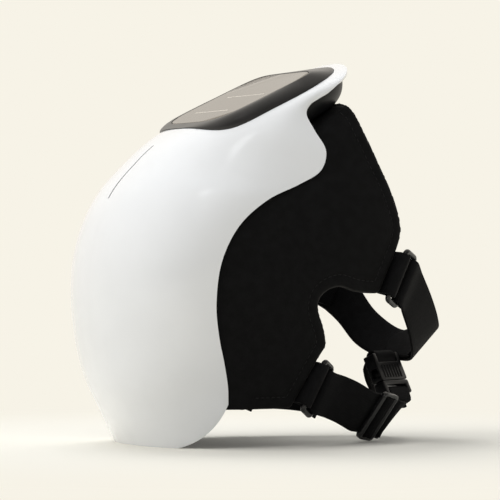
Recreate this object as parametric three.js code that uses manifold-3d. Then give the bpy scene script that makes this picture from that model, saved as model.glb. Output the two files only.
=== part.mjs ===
// Knee massager: a glossy moulded front shell over a soft neoprene wrap, a control pod on top, and two
// straps that close behind the knee. Millimetres, +Z up. The front of the knee is at -X, the hollow of the
// knee at +X, the wearer's left at -Y. The part stands on the shell's hem and on the strap slider behind
// it.
import * as THREE from 'three';
import { mergeVertices } from 'three/addons/utils/BufferGeometryUtils.js';
import Module from 'manifold-3d';

const wasm = await Module();
wasm.setup();

// Overall sizes
const frontReach = 107.5; // from the reference plane to the front of the shell
const overallHeight = 232; // floor to the top of the lip
const halfWidth = 76; // middle plane to the widest place of the shell
const originSetback = 8.14; // from the reference plane back to the middle of the whole part
const gap = 0.3; // clearance between touching pieces
const overrun = 5; // how far a cutting solid runs past what it cuts

// Shell and what lines it
const shellWall = 2.6;
const housingGap = 1.2; // shell to inner housing, measured square to the panel
const housingWall = 2;
const housingFloorDepthShare = 0.0707; // pod's plane to the floor's inner face, on overallHeight
const housingFloor = housingFloorDepthShare * overallHeight;
const wrapWall = 4.6;
const wingCurlShare = 0.158; // how far a wing's rear edge turns in, on halfWidth
const wingCurlLengthShare = 0.558; // fold line to where it has turned in that far, on frontReach
const wingCurl = wingCurlShare * halfWidth;
const wingCurlLength = wingCurlLengthShare * frontReach;

// Fold line of the wings, in the side view
// Its foot and its head, on frontReach and overallHeight.
const foldShares = [[-0.2884, 0.0948], [0.3721, 0.8836]];
const [[foldFootX, foldFootZ], [foldHeadX, foldHeadZ]] = foldShares
  .map(([x, z]) => [x * frontReach, z * overallHeight]);

// Control pod, in its own tilted frame: x up the slope to the rear, z square to the panel
const podSlopeShare = 0.22; // rise of the deck to its run, on the shares of the shell's table
const podTilt = Math.atan(podSlopeShare * overallHeight / frontReach);
const podBaseShares = [-0.0791, 0.8629];
// Level reach of the pod from its middle to its front and its rear.
const podLengthShares = [0.4202, 0.5378];
const podWidthShare = 0.6184;
const podBaseX = podBaseShares[0] * frontReach;
const podBaseZ = podBaseShares[1] * overallHeight;
const [podFrontLength, podRearLength] = podLengthShares
  .map((share) => share * frontReach / Math.cos(podTilt));
const podHalfWidth = podWidthShare * halfWidth;
const podTop = 8.6; // deck at the sides to the rim round the panel
const podWall = 2;
const podLedge = 0.6; // height of the pod's upright wall above the deck
const panelShares = [0.5614, 0.8723]; // length and width of the panel against the pod's
const panelLength = panelShares[0] * (podFrontLength + podRearLength);
const panelWidth = panelShares[1] * 2 * podHalfWidth;
const panelCentre = 2; // middle of the panel along the slope
const panelThick = 1.3;
const panelRecess = 1.7;
const panelRim = 1.2; // flat rim of the pod round the panel

// Inside the pod and the inner housing
const chassisThick = 1.6;
// Rim of the housing beyond the pod.
const [housingFrontMargin, housingRearMargin, housingSideMargin] = [1, 4, 3];
const housingFront = podFrontLength + housingFrontMargin;
const housingRear = podRearLength + housingRearMargin;
const housingHalf = podHalfWidth + housingSideMargin;
const housingFloorShare = 0.78; // outline of the floor against the rim
const bossDiameter = 5.4;
const screwDiameter = 2.2;
const screwHeadDiameter = 4;
const screwHeadHeight = 1.5;
const screwLength = 5.5;
const bossShares = [0.509, 0.66]; // spans of the four bosses against the pod's length and width
const bossSpanX = bossShares[0] * (podFrontLength + podRearLength);
const bossSpanY = bossShares[1] * 2 * podHalfWidth;
const boardLength = 46;
const boardWidth = 50;
const boardThick = 1.5;
const batteryLength = 27;
const batteryWidthShare = 0.52;
const batteryWidth = batteryWidthShare * 2 * podHalfWidth;
const batteryThick = 8.2;
const pumpShare = 0.73; // diameter of the pump against the depth of the housing
const pumpDiameter = pumpShare * housingFloor;
const pumpLength = 32;
const valveSize = 9;
const [batteryX, pumpX, valveX] = [-20, 6, 22]; // middles along the housing

// Vibration motors in the front of the shell
const motorDiameterShare = 0.0744; // on frontReach, as the room between the shell and the wrap is
const motorDiameter = motorDiameterShare * frontReach;
const motorLength = 22;
// X of the axes, their spacing, and the height of the motors' lower end.
const motorShares = [-0.905, 0.5, 0.319];
const motorAxisX = motorShares[0] * frontReach; // half-way between the shell and the wrap
const motorSpacing = motorShares[1] * halfWidth;
const motorFoot = motorShares[2] * overallHeight;
const motorShaftDiameter = 2;
const motorGap = 1; // motor to the weight on its shaft
const weightInset = 0.1; // the weights are this much smaller in radius than the motors
const weightRadius = motorDiameter / 2 - weightInset;
const weightThick = 5;
const cradleWall = 1.6;
const cradleHeight = 14;

// Layers inside the wrap, from its inner face to the lining that lies on the knee
const layerGap = 0.4; // the layers are faceted, so they keep a little more than the usual gap
const bagSkin = 0.8;
const bagRise = 3; // crown of an air bag above its skin
const filmThick = 0.5;
const liningThick = 1.8;
const liningChannel = 0.9; // depth of the lining's sewn channels
const filmDepth = wrapWall + bagSkin + bagRise + 2 * layerGap;
const liningDepth = filmDepth + filmThick + layerGap;

// Light bar in the front of the shell
const barWidth = 0.9;
const barShares = [0.4516, 0.591]; // its ends, as shares of the way from the hem to the lip

// Straps and their hardware
const webWidth = 28;
// A turn of webbing has eight flats, which lie nearer the bar than its corners.
const webBend = Math.cos(Math.PI / 8);
const webThick = 1.8;
const ringSide = 5; // end of a ring beside its web, with the play between them
const ringLength = webWidth + 2 * ringSide;
const ringWidth = 17;
const ringBar = 3.6;
const ringThick = 3.4;
const ringBevel = 0.8;
const tabInset = 0.5; // edge of a tab inside the edge of the web
const tabWidth = webWidth - 2 * tabInset;
const tabThick = 1.6;
const sliderSide = 2.7; // end of the slider beside its web, with the play between them
const sliderLength = webWidth + 2 * sliderSide;
const sliderWidth = 17;
const sliderBar = 3.2;
const sliderThick = 3.2;
const buckleWidth = 27;
const buckleThick = 8;
const buckleWall = 1.4;
const buckleBar = 2.8;
const buckleWebWidth = 20; // the webbing is gathered where it passes the buckle
const socketLength = 18; // female half with its bar
const plugLength = 9; // part of the male half that stays outside
const prongWidth = 4.2;
const prongThick = 4;

const material = (color, roughness, metalness = 0) => new THREE
  .MeshStandardMaterial({ color, roughness, metalness });
const glossWhite = material(0xf4f4f2, 0.12);
const satinBlack = material(0x161617, 0.35);
const podCharcoal = material(0x3a3938, 0.38);
const panelGlass = material(0x24211e, 0.06);
const neoprene = material(0x0e0e0f, 0.9);
const webbing = material(0x18181a, 0.85);
const plastic = material(0x202022, 0.45);
const steel = material(0xa8a9ad, 0.3, 0.9);
const greenBoard = material(0x1f5a38, 0.6);
const rubber = material(0x2a2a2a, 0.8);
const filmAmber = material(0x9a6a2c, 0.5);
const foil = material(0x8d9096, 0.4, 0.4);

// Solids and booleans

const weldReach = 0.00001; // corners closer than this are one

function stripped(geometry) {
  const bare = geometry.clone();
  bare.deleteAttribute('normal');
  bare.deleteAttribute('uv');
  return bare;
}

function toSolid(geometry) {
  const merged = mergeVertices(stripped(geometry), weldReach);
  const places = merged.getAttribute('position').array;
  return new wasm.Manifold(new wasm.Mesh({
    numProp: 3, vertProperties: new Float32Array(places), triVerts: new Uint32Array(merged.index.array),
  }));
}

function fromSolid(solid) {
  const mesh = solid.getMesh();
  const geometry = new THREE.BufferGeometry();
  geometry.setAttribute('position', new THREE.BufferAttribute(new Float32Array(mesh.vertProperties), 3));
  geometry.setIndex([...mesh.triVerts]);
  return geometry;
}

const cut = (first, ...tools) => fromSolid(tools
  .reduce((left, tool) => left.subtract(toSolid(tool)), toSolid(first)));
const join = (first, ...others) => fromSolid(others
  .reduce((sum, other) => sum.add(toSolid(other)), toSolid(first)));
const common = (first, second) => fromSolid(toSolid(first).intersect(toSolid(second)));

// Surfaces given by tables of stations

// One row of a table at a share of its length, on a smooth curve through the rows.
function rowAt(table, share) {
  const last = table.length - 1;
  const place = THREE.MathUtils.clamp(share, 0, 1) * last;
  const start = Math.min(Math.floor(place), last - 1);
  const along = place - start;
  const row = (index) => {
    if (index < 0) return table[0].map((value, column) => 2 * value - table[1][column]);
    if (index > last) return table[last].map((value, column) => 2 * value - table[last - 1][column]);
    return table[index];
  };
  const [before, here, next, after] = [-1, 0, 1, 2].map((step) => row(start + step));
  return here.map((value, column) => {
    const [a, b, c, d] = [before, here, next, after].map((values) => values[column]);
    const slope = c - a;
    const bend = 2 * a - 5 * b + 4 * c - d;
    const twist = 3 * b - a - 3 * c + d;
    return b + (slope * along + bend * along ** 2 + twist * along ** 3) / 2;
  });
}

// Cosine and sine of a rounded section; a squareness of 2 is an ellipse and more is fuller at the corners.
function roundedSection(angle, squareness) {
  const cosine = Math.abs(Math.cos(angle));
  const sine = Math.abs(Math.sin(angle));
  const radius = (cosine ** squareness + sine ** squareness) ** (-1 / squareness);
  return [radius * Math.cos(angle), radius * Math.sin(angle)];
}

const [shellCountU, shellCountT] = [24, 30];
const normalStep = 0.004;
const pastEdge = 1 + normalStep / 2; // a cutting sheet runs just past the shell's side edges

// Point of a surface, moved out square to it. u runs from the hem over the front to the rear, t from left
// to right.
function offsetPoint(surface, u, t, distance) {
  const along = surface(Math.min(u + normalStep, 1), t).sub(surface(Math.max(u - normalStep, 0), t));
  const across = surface(u, Math.min(t + normalStep, 1)).sub(surface(u, Math.max(t - normalStep, -1)));
  return surface(u, t).addScaledVector(along.cross(across).normalize(), distance);
}

// Closed sheet between two offsets of a surface.
function sheet(surface, [fromU, toU], [fromT, toT], countU, countT, outer, inner) {
  const places = [];
  for (const distance of [outer, inner]) {
    for (let i = 0; i <= countU; i += 1) {
      for (let j = 0; j <= countT; j += 1) {
        const u = THREE.MathUtils.lerp(fromU, toU, i / countU);
        const t = THREE.MathUtils.lerp(fromT, toT, j / countT);
        places.push(...offsetPoint(surface, u, t, distance(i / countU, j / countT)).toArray());
      }
    }
  }
  const layer = (countU + 1) * (countT + 1);
  const at = (i, j, side) => side * layer + i * (countT + 1) + j;
  const index = [];
  const quad = (a, b, c, d) => index.push(a, b, c, a, c, d);
  for (let i = 0; i < countU; i += 1) {
    for (let j = 0; j < countT; j += 1) {
      quad(at(i, j, 0), at(i + 1, j, 0), at(i + 1, j + 1, 0), at(i, j + 1, 0));
      quad(at(i, j, 1), at(i, j + 1, 1), at(i + 1, j + 1, 1), at(i + 1, j, 1));
    }
    quad(at(i, 0, 0), at(i, 0, 1), at(i + 1, 0, 1), at(i + 1, 0, 0));
    quad(at(i, countT, 0), at(i + 1, countT, 0), at(i + 1, countT, 1), at(i, countT, 1));
  }
  for (let j = 0; j < countT; j += 1) {
    quad(at(0, j, 0), at(0, j + 1, 0), at(0, j + 1, 1), at(0, j, 1));
    quad(at(countU, j, 0), at(countU, j, 1), at(countU, j + 1, 1), at(countU, j + 1, 0));
  }
  const geometry = new THREE.BufferGeometry();
  geometry.setAttribute('position', new THREE.BufferAttribute(new Float32Array(places), 3));
  geometry.setIndex(index);
  return geometry;
}

const constant = (value) => () => value;

// Sheet along the whole shell between two distances from its outer face.
function shellSheet(edge, outer, inner) {
  const [over, under] = [outer, inner].map(constant);
  return sheet(shellSurface, [0, 1], [-edge, edge], shellCountU, shellCountT, over, under);
}

// Shell: each row is a section, from the hem over the front to the lip behind the pod. Columns: front line
// X and Z, side edge X and Z, half width, squareness. X is a share of frontReach, Z of overallHeight, width
// of halfWidth.
const shellShares = [
  [-0.695, -0.0066, -0.414, 0.112, 0.860, 2.4],
  [-0.833, 0.080, -0.426, 0.159, 0.888, 2.4],
  [-0.926, 0.168, -0.460, 0.218, 0.928, 2.35],
  [-0.980, 0.267, -0.502, 0.287, 0.961, 2.3],
  [-1.000, 0.375, -0.526, 0.371, 0.987, 2.3],
  [-0.988, 0.478, -0.498, 0.474, 1.000, 2.3],
  [-0.938, 0.573, -0.391, 0.565, 0.993, 2.3],
  [-0.847, 0.657, -0.214, 0.631, 0.974, 2.35],
  [-0.721, 0.724, -0.009, 0.672, 0.941, 2.4],
  [-0.577, 0.784, 0.130, 0.707, 0.914, 2.5],
  [-0.414, 0.829, 0.177, 0.759, 0.875, 2.8],
  [-0.223, 0.864, 0.130, 0.810, 0.816, 3.2],
  [0.000, 0.903, 0.098, 0.853, 0.757, 3.6],
  [0.233, 0.946, 0.135, 0.873, 0.717, 3.6],
  [0.400, 0.978, 0.186, 0.883, 0.707, 2.8],
  [0.516, 1.000, 0.242, 0.892, 0.697, 2.1],
];
const hemFlatShare = 0.88; // part of the hem's section, from the front line, that lies on the floor
const hemBlendShare = 0.12; // height of the shell over which the rounded hem corner fades out
const hemFullness = 0.028; // how far the hem's corner is filled out, as a share of frontReach

function shellSurface(u, t) {
  const [frontX, frontZ, sideX, sideZ, width, squareness] = rowAt(shellShares, u);
  const [cosine, sine] = roundedSection(t * Math.PI / 2, squareness);
  const hem = Math.max(0, 1 - u / hemBlendShare) ** 2;
  const roundLift = Math.max(0, 1 - cosine / hemFlatShare) ** 2;
  const lift = THREE.MathUtils.lerp(1 - cosine, roundLift, hem);
  const x = THREE.MathUtils.lerp(sideX, frontX, cosine) + hem * hemFullness * 4 * cosine * (1 - cosine);
  const z = THREE.MathUtils.lerp(frontZ, sideZ, lift);
  return new THREE.Vector3(x * frontReach, sine * width * halfWidth, z * overallHeight);
}

// Wrap: rows from its lower edge up and over the knee. Columns: front line X and Z, share of the fold line,
// half width, squareness.
const wrapShares = [
  [-0.772, 0.0948, 0.000, 0.842, 3.0],
  [-0.819, 0.216, 0.155, 0.921, 3.0],
  [-0.846, 0.371, 0.355, 1.016, 3.0],
  [-0.828, 0.517, 0.541, 1.020, 3.0],
  [-0.744, 0.629, 0.685, 0.954, 3.0],
  [-0.586, 0.679, 0.790, 0.872, 3.0],
  [-0.372, 0.707, 0.870, 0.816, 3.0],
  [-0.130, 0.752, 0.925, 0.776, 3.2],
  [0.093, 0.802, 0.965, 0.737, 3.4],
  [0.298, 0.849, 1.000, 0.710, 3.4],
];

const [wrapCountU, wrapCountT] = [18, 28];

function foldPoint(u) {
  const [, , along, width] = rowAt(wrapShares, u);
  const x = THREE.MathUtils.lerp(foldFootX, foldHeadX, along);
  const z = THREE.MathUtils.lerp(foldFootZ, foldHeadZ, along);
  return new THREE.Vector3(x, width * halfWidth, z);
}

function wrapSurface(u, t) {
  const [frontX, frontZ, , , squareness] = rowAt(wrapShares, u);
  const [cosine, sine] = roundedSection(t * Math.PI / 2, squareness);
  const fold = foldPoint(u);
  const x = THREE.MathUtils.lerp(fold.x, frontX * frontReach, cosine);
  const z = THREE.MathUtils.lerp(fold.z, frontZ * overallHeight, cosine);
  return new THREE.Vector3(x, sine * fold.y, z);
}

const foldTries = 24;

// Wing: a level sheet behind the fold line that turns in towards the leg. s is the distance behind the
// fold.
function wingPoint(height, s) {
  const share = (height - foldFootZ) / (foldHeadZ - foldFootZ);
  let low = 0;
  let high = 1;
  for (let pass = 0; pass < foldTries; pass += 1) {
    const middle = (low + high) / 2;
    if (rowAt(wrapShares, middle)[2] < share) low = middle; else high = middle;
  }
  const fold = foldPoint((low + high) / 2);
  const x = THREE.MathUtils.lerp(foldFootX, foldHeadX, share) + s;
  const y = fold.y - wingCurl * (s / wingCurlLength) ** 2;
  return new THREE.Vector3(x, y, height);
}

// Outline of a wing in the side view, from its top corner round the two lobes to its lower edge.
const wingOutlineShares = [
  [0.405, 0.862], [0.437, 0.8125], [0.516, 0.726], [0.603, 0.645], [0.662, 0.565], [0.638, 0.513],
  [0.572, 0.4505], [0.516, 0.396], [0.465, 0.391], [0.335, 0.396], [0.215, 0.409], [0.112, 0.388],
  [0.097, 0.352], [0.145, 0.306], [0.175, 0.259], [0.138, 0.228], [0.002, 0.110], [-0.028, 0.0966],
];

// The same solid on the wearer's other side.
function mirrored(geometry) {
  const copy = geometry.clone();
  copy.scale(1, -1, 1);
  const index = [...copy.index.array];
  for (let k = 0; k < index.length; k += 3) [index[k + 1], index[k + 2]] = [index[k + 2], index[k + 1]];
  copy.setIndex(index);
  return copy;
}

const wingCountZ = 20;
const wingCountS = 9;
const wingReachShare = 1.05; // length of the uncut sheet against the wing's own length
const outlineSteps = 3; // points of the wing's outline to a station of its table

// Everything behind the fold line, as deep as the whole part.
function behindFold() {
  const outline = new THREE.Shape();
  const slope = (foldHeadX - foldFootX) / (foldHeadZ - foldFootZ);
  const [low, high] = [-overrun, overallHeight]
    .map((z) => [foldFootX + slope * (z - foldFootZ) - gap / 2, z]);
  outline.moveTo(...low);
  outline.lineTo(frontReach, low[1]);
  outline.lineTo(frontReach, high[1]);
  outline.lineTo(...high);
  const depth = 4 * halfWidth;
  return new THREE.ExtrudeGeometry(outline, { depth, bevelEnabled: false }).rotateX(Math.PI / 2)
    .translate(0, depth / 2, 0);
}

function wing(clearance = 0) {
  const reach = wingReachShare * (Math.max(...wingOutlineShares.map(([x]) => x)) * frontReach - foldFootX);
  const surface = (u, t) => wingPoint(THREE.MathUtils.lerp(foldFootZ, foldHeadZ, u), (t + 1) / 2 * reach);
  const blank = sheet(surface, [0, 1], [-1, 1], wingCountZ, wingCountS, constant(clearance),
    constant(-wrapWall - clearance));
  const outline = new THREE.Shape();
  const corners = wingOutlineShares.map(([x, z]) => new THREE.Vector2(x * frontReach, z * overallHeight));
  outline.moveTo(foldFootX + gap / 2, foldFootZ);
  outline.lineTo(foldHeadX + gap / 2, foldHeadZ);
  outline.lineTo(corners[0].x, corners[0].y);
  outline.splineThru(corners.slice(1));
  outline.closePath();
  const settings = { depth: halfWidth, bevelEnabled: false, curveSegments: outlineSteps };
  const prism = new THREE.ExtrudeGeometry(outline, settings);
  prism.rotateX(Math.PI / 2);
  prism.translate(0, halfWidth + overrun, 0);
  return common(blank, prism);
}

// Pod

const podFrame = new THREE.Matrix4().makeRotationY(-podTilt).setPosition(podBaseX, 0, podBaseZ);
const intoPod = podFrame.clone().invert();
const podSteps = 48;
const podFrontSquareness = 4.5;
const podRearSquareness = 2.5;
const panelSquareness = 7;

// Height of the shell's outer face above the pod frame's plane.
const deckTries = 30;
const deckNudge = 0.002;
const deckShares = [[0.45, 0.99], [-0.98, 0.98]]; // part of the shell that is searched
const deckStart = 0.8;
function deckHeight(x, y) {
  const seen = (u, t) => shellSurface(u, t).applyMatrix4(intoPod);
  let u = deckStart;
  let t = y / halfWidth;
  for (let pass = 0; pass < deckTries; pass += 1) {
    const here = seen(u, t);
    const alongU = seen(u + deckNudge, t).sub(here).divideScalar(deckNudge);
    const alongT = seen(u, t + deckNudge).sub(here).divideScalar(deckNudge);
    const area = alongU.x * alongT.y - alongT.x * alongU.y;
    u += ((x - here.x) * alongT.y - (y - here.y) * alongT.x) / area;
    t += ((y - here.y) * alongU.x - (x - here.x) * alongU.y) / area;
    u = THREE.MathUtils.clamp(u, ...deckShares[0]);
    t = THREE.MathUtils.clamp(t, ...deckShares[1]);
  }
  return seen(u, t).z;
}

// Closed outline round the pod's middle: front and rear halves of different length.
function ovalPoint(angle, front, rear, half) {
  const isRear = Math.cos(angle) > 0;
  const [cosine, sine] = roundedSection(angle, isRear ? podRearSquareness : podFrontSquareness);
  return new THREE.Vector2(cosine * (isRear ? rear : front), sine * half);
}

function podOutline(angle, inset) {
  return ovalPoint(angle, podFrontLength - inset, podRearLength - inset, podHalfWidth - inset);
}

function panelOutline(angle, outset) {
  const [cosine, sine] = roundedSection(angle, panelSquareness);
  const x = panelCentre + cosine * (panelLength / 2 + outset);
  return new THREE.Vector2(x, sine * (panelWidth / 2 + outset));
}

const angles = [...Array(podSteps).keys()].map((step) => step / podSteps * 2 * Math.PI);

// Closed solid from rings of points: up the outside, or down the inside and then up the outside.
function ringStack(rings) {
  const places = [];
  const index = [];
  const count = rings[0].length;
  for (const ring of rings) for (const point of ring) places.push(point.x, point.y, point.z);
  for (let level = 0; level + 1 < rings.length; level += 1) {
    for (let k = 0; k < count; k += 1) {
      const next = (k + 1) % count;
      const foot = level * count;
      const head = foot + count;
      index.push(foot + k, foot + next, head + next, foot + k, head + next, head + k);
    }
  }
  for (const [ring, isTop] of [[rings[0], false], [rings.at(-1), true]]) {
    const middle = ring.reduce((sum, point) => sum.add(point), new THREE.Vector3()).divideScalar(count);
    const centre = places.length / 3;
    const first = isTop ? (rings.length - 1) * count : 0;
    places.push(...middle.toArray());
    for (let k = 0; k < count; k += 1) {
      const pair = [first + k, first + (k + 1) % count];
      index.push(centre, ...(isTop ? pair : pair.reverse()));
    }
  }
  const geometry = new THREE.BufferGeometry();
  geometry.setAttribute('position', new THREE.BufferAttribute(new Float32Array(places), 3));
  geometry.setIndex(index);
  return geometry;
}

const ringAt = (outline, height) => angles.map((angle, k) => {
  const flat = outline(angle);
  return new THREE.Vector3(flat.x, flat.y, typeof height === 'number' ? height : height[k]);
});

const deckRound = angles.map((angle) => {
  const edge = podOutline(angle, 0);
  return deckHeight(edge.x, edge.y);
});
const skirtRound = deckRound.map((deck) => deck - shellWall - gap);
const shoulderSteps = 4;

// Levels of the pod's shoulder, from its upright wall to the rim round the panel.
function podLevel(step, inset, drop) {
  const share = step / shoulderSteps;
  const angle = share * Math.PI / 2;
  return angles.map((around, k) => {
    const slope = Math.max(0, Math.cos(around)); // the shoulder is round at the front and flat at the rear
    const inward = THREE.MathUtils.lerp(1 - Math.cos(angle), share, slope);
    const rise = THREE.MathUtils.lerp(Math.sin(angle), share, slope);
    const base = podOutline(around, inset);
    const rim = panelOutline(around, panelRim - inset / 2);
    const foot = Math.min(deckRound[k] + podLedge, podTop);
    const flat = base.lerp(rim, inward);
    return new THREE.Vector3(flat.x, flat.y, THREE.MathUtils.lerp(foot, podTop, rise) - drop);
  });
}

const podCeiling = podTop - panelRecess - podWall;

function podShell() {
  const inner = [];
  for (let step = shoulderSteps; step >= 0; step -= 1) {
    const level = podLevel(step, podWall, podWall);
    for (const point of level) point.z = Math.min(point.z, podCeiling);
    inner.push(level);
  }
  inner.push(ringAt((angle) => podOutline(angle, podWall), skirtRound));
  const outer = [ringAt((angle) => podOutline(angle, 0), skirtRound)];
  for (let step = 0; step <= shoulderSteps; step += 1) outer.push(podLevel(step, 0, 0));
  outer.push(ringAt((angle) => panelOutline(angle, gap), podTop));
  outer.push(ringAt((angle) => panelOutline(angle, gap), podTop - panelRecess));
  return ringStack([...inner, ...outer]);
}

const [roundSides, fineSides, shaftSides, screwSides] = [16, 24, 12, 10];
const cylinder = (diameter, length, sides = roundSides) => new THREE
  .CylinderGeometry(diameter / 2, diameter / 2, length, sides).rotateX(Math.PI / 2);

const bossPlaces = [[-1, -1], [1, -1], [1, 1], [-1, 1]]
  .map(([x, y]) => [x * bossSpanX / 2, y * bossSpanY / 2]);
const bossSink = podWall / 2; // how far a boss is let into the pod's ceiling

function podWithBosses() {
  const bossHeight = podCeiling + bossSink - gap;
  const bosses = bossPlaces
    .map(([x, y]) => cylinder(bossDiameter, bossHeight).translate(x, y, gap + bossHeight / 2));
  const holes = bossPlaces.map(([x, y]) => cylinder(screwDiameter + 2 * gap, screwLength)
    .translate(x, y, screwLength / 2 - chassisThick));
  return cut(join(podShell(), ...bosses), ...holes);
}

const chassisOutline = (angle) => podOutline(angle, podWall + 2 * gap);

function chassis() {
  const plate = ringStack([ringAt(chassisOutline, -chassisThick), ringAt(chassisOutline, 0)]);
  const holes = bossPlaces.map(([x, y]) => cylinder(screwDiameter + 2 * gap, chassisThick + 2 * overrun)
    .translate(x, y, 0));
  return cut(plate, ...holes);
}

function screw() {
  const seat = -chassisThick - gap;
  const radius = screwDiameter / 2;
  const head = screwHeadDiameter / 2;
  const tip = seat + screwLength - 2 * gap;
  const profile = [[0, seat - screwHeadHeight], [head, seat - screwHeadHeight], [head, seat], [radius, seat],
    [radius, tip - radius], [0, tip]].map(([x, y]) => new THREE.Vector2(x, y));
  return new THREE.LatheGeometry(profile, screwSides).rotateX(Math.PI / 2);
}

// Housing under the pod: a bowl whose rim follows the inside of the shell's lip.
const bowlSteps = 5;
const rimRound = angles.map((angle) => {
  const edge = ovalPoint(angle, housingFront, housingRear, housingHalf);
  return deckHeight(edge.x, edge.y) - shellWall - housingGap;
});

function bowlLevel(step, inset) {
  const angle = step / bowlSteps * Math.PI / 2;
  return angles.map((around, k) => {
    const rim = ovalPoint(around, housingFront - inset, housingRear - inset, housingHalf - inset);
    const scale = THREE.MathUtils.lerp(1, housingFloorShare, 1 - Math.cos(angle));
    const depth = -housingFloor - (inset > 0 ? 0 : housingWall);
    const height = THREE.MathUtils.lerp(rimRound[k], depth, Math.sin(angle));
    return new THREE.Vector3(rim.x * scale, rim.y * scale, height);
  });
}

function innerHousing() {
  const rings = [];
  for (let step = bowlSteps; step >= 0; step -= 1) rings.push(bowlLevel(step, 0));
  const inner = [];
  for (let step = 0; step <= bowlSteps; step += 1) inner.push(bowlLevel(step, housingWall));
  return ringStack([...rings, ...inner]);
}

const roundedBox = (length, width, height, radius, holes = [], bevel = 0) => {
  const shape = new THREE.Shape();
  const [x, y] = [length / 2, width / 2];
  shape.moveTo(-x + radius, -y);
  shape.lineTo(x - radius, -y);
  shape.absarc(x - radius, -y + radius, radius, -Math.PI / 2, 0);
  shape.lineTo(x, y - radius);
  shape.absarc(x - radius, y - radius, radius, 0, Math.PI / 2);
  shape.lineTo(-x + radius, y);
  shape.absarc(-x + radius, y - radius, radius, Math.PI / 2, Math.PI);
  shape.lineTo(-x, -y + radius);
  shape.absarc(-x + radius, -y + radius, radius, Math.PI, 1.5 * Math.PI);
  shape.holes.push(...holes);
  const geometry = new THREE.ExtrudeGeometry(shape, {
    depth: height - 2 * bevel,
    bevelEnabled: bevel > 0,
    bevelThickness: bevel,
    bevelSize: bevel,
    bevelOffset: -bevel,
    bevelSegments: 1,
    curveSegments: 3,
  });
  return geometry.translate(0, 0, bevel - height / 2);
};

// Webbing

// Strip of webbing through stations with a place, a direction across the web and a share of the full width.
function ribbon(stations, width, thickness) {
  const places = [];
  const index = [];
  stations.forEach(({ at, across, share = 1 }, k) => {
    const ahead = stations[Math.min(k + 1, stations.length - 1)].at;
    const behind = stations[Math.max(k - 1, 0)].at;
    const normal = ahead.clone().sub(behind).cross(across).normalize().multiplyScalar(thickness / 2);
    const half = across.clone().multiplyScalar(width * share / 2);
    for (const [a, n] of [[-1, -1], [1, -1], [1, 1], [-1, 1]]) {
      places.push(...at.clone().addScaledVector(half, a).addScaledVector(normal, n).toArray());
    }
    if (k === 0) return;
    const from = (k - 1) * 4;
    for (let side = 0; side < 4; side += 1) {
      const next = (side + 1) % 4;
      index.push(from + side, from + next, from + 4 + next, from + side, from + 4 + next, from + 4 + side);
    }
  });
  const last = (stations.length - 1) * 4;
  index.push(0, 2, 1, 0, 3, 2, last, last + 1, last + 2, last, last + 2, last + 3);
  const geometry = new THREE.BufferGeometry();
  geometry.setAttribute('position', new THREE.BufferAttribute(new Float32Array(places), 3));
  geometry.setIndex(index);
  return geometry;
}

const vector = ([x, y, z]) => new THREE.Vector3(x, y, z);
const direction = (list) => vector(list).normalize();

// Stations of a table of shares: X, Y and Z, then the direction across the web.
function routeStations(table, count, widths = [1, 1]) {
  return [...Array(count + 1).keys()].map((step) => {
    const [x, y, z, ...across] = rowAt(table, step / count);
    return {
      at: new THREE.Vector3(x * frontReach, y * halfWidth, z * overallHeight),
      across: direction(across),
      share: THREE.MathUtils.lerp(widths[0], widths[1], step / count),
    };
  });
}

const turnSteps = 4;
const turnTailShare = 0.7; // where a sewn tail starts to lie flat

// Turn of webbing round a bar. Its sewn tail lies on the side of `inward`, and it leaves on the other side.
function barTurn(bar, across, leave, inward, radius, tail, share = 1) {
  const place = (along, out) => ({
    at: bar.clone().addScaledVector(leave, along).addScaledVector(inward, out), across, share,
  });
  const layer = webThick + 2 * gap;
  const arc = [...Array(turnSteps + 1).keys()].map((step) => step / turnSteps * Math.PI);
  return [place(tail, layer), place(tail * turnTailShare, layer),
    ...arc.map((angle) => place(-radius * Math.sin(angle), radius * Math.cos(angle)))];
}

const mirrorStations = (stations) => stations.map(({ at, across, share }) => ({
  at: new THREE.Vector3(at.x, -at.y, at.z), across: new THREE.Vector3(across.x, -across.y, across.z), share,
}));

// Place of a flat piece whose own X, Y and Z point along three given directions.
const frameAt = (place, alongX, alongY) => new THREE.Matrix4()
  .makeBasis(alongX, alongY, alongX.clone().cross(alongY)).setPosition(place);

// Rings: place of the middle as shares, the direction along the bars, and the direction from the wing's bar
// to the strap's bar.
const ringPlaces = {
  upper: { edge: [0.5837, -0.9168, 0.4471], bars: [0.414, 0, 0.911], lead: [0.728, 0.6, -0.33] },
  lower: { edge: [0.0799, -0.8883, 0.1651], bars: [0.467, 0, 0.884], lead: [0.663, 0.66, -0.35] },
};
const ringFromEdge = 12; // middle of a ring to the wing's edge, along the ring's lead

const barOffset = (ringWidth - ringBar) / 2;
// Middle of a bar to its bevelled corner.
const barCorner = Math.hypot(ringBar / 2, ringThick / 2 - ringBevel);
const ringTurn = (barCorner + gap + webThick / 2) / webBend;

function ringFrame(name) {
  const { edge, bars, lead } = ringPlaces[name];
  const along = direction(bars);
  const across = direction(lead);
  across.addScaledVector(along, -across.dot(along)).normalize();
  const place = new THREE.Vector3(edge[0] * frontReach, edge[1] * halfWidth, edge[2] * overallHeight);
  place.addScaledVector(across, ringFromEdge);
  return { place, along, across, inward: along.clone().cross(across) };
}

function ringSolid(name) {
  const hole = new THREE.Path();
  const [x, y] = [ringLength / 2 - ringBar, ringWidth / 2 - ringBar];
  hole.moveTo(-x, -y);
  hole.lineTo(-x, y);
  hole.lineTo(x, y);
  hole.lineTo(x, -y);
  const { place, along, across } = ringFrame(name);
  return roundedBox(ringLength, ringWidth, ringThick, ringBar + gap, [hole], ringBevel)
    .applyMatrix4(frameAt(place, along, across));
}

const strapTail = 13; // sewn end of a strap behind its ring

function strapStart(name) {
  const { place, along, across, inward } = ringFrame(name);
  const bar = place.clone().addScaledVector(across, barOffset);
  return barTurn(bar, along, across, inward, ringTurn, strapTail);
}

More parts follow.
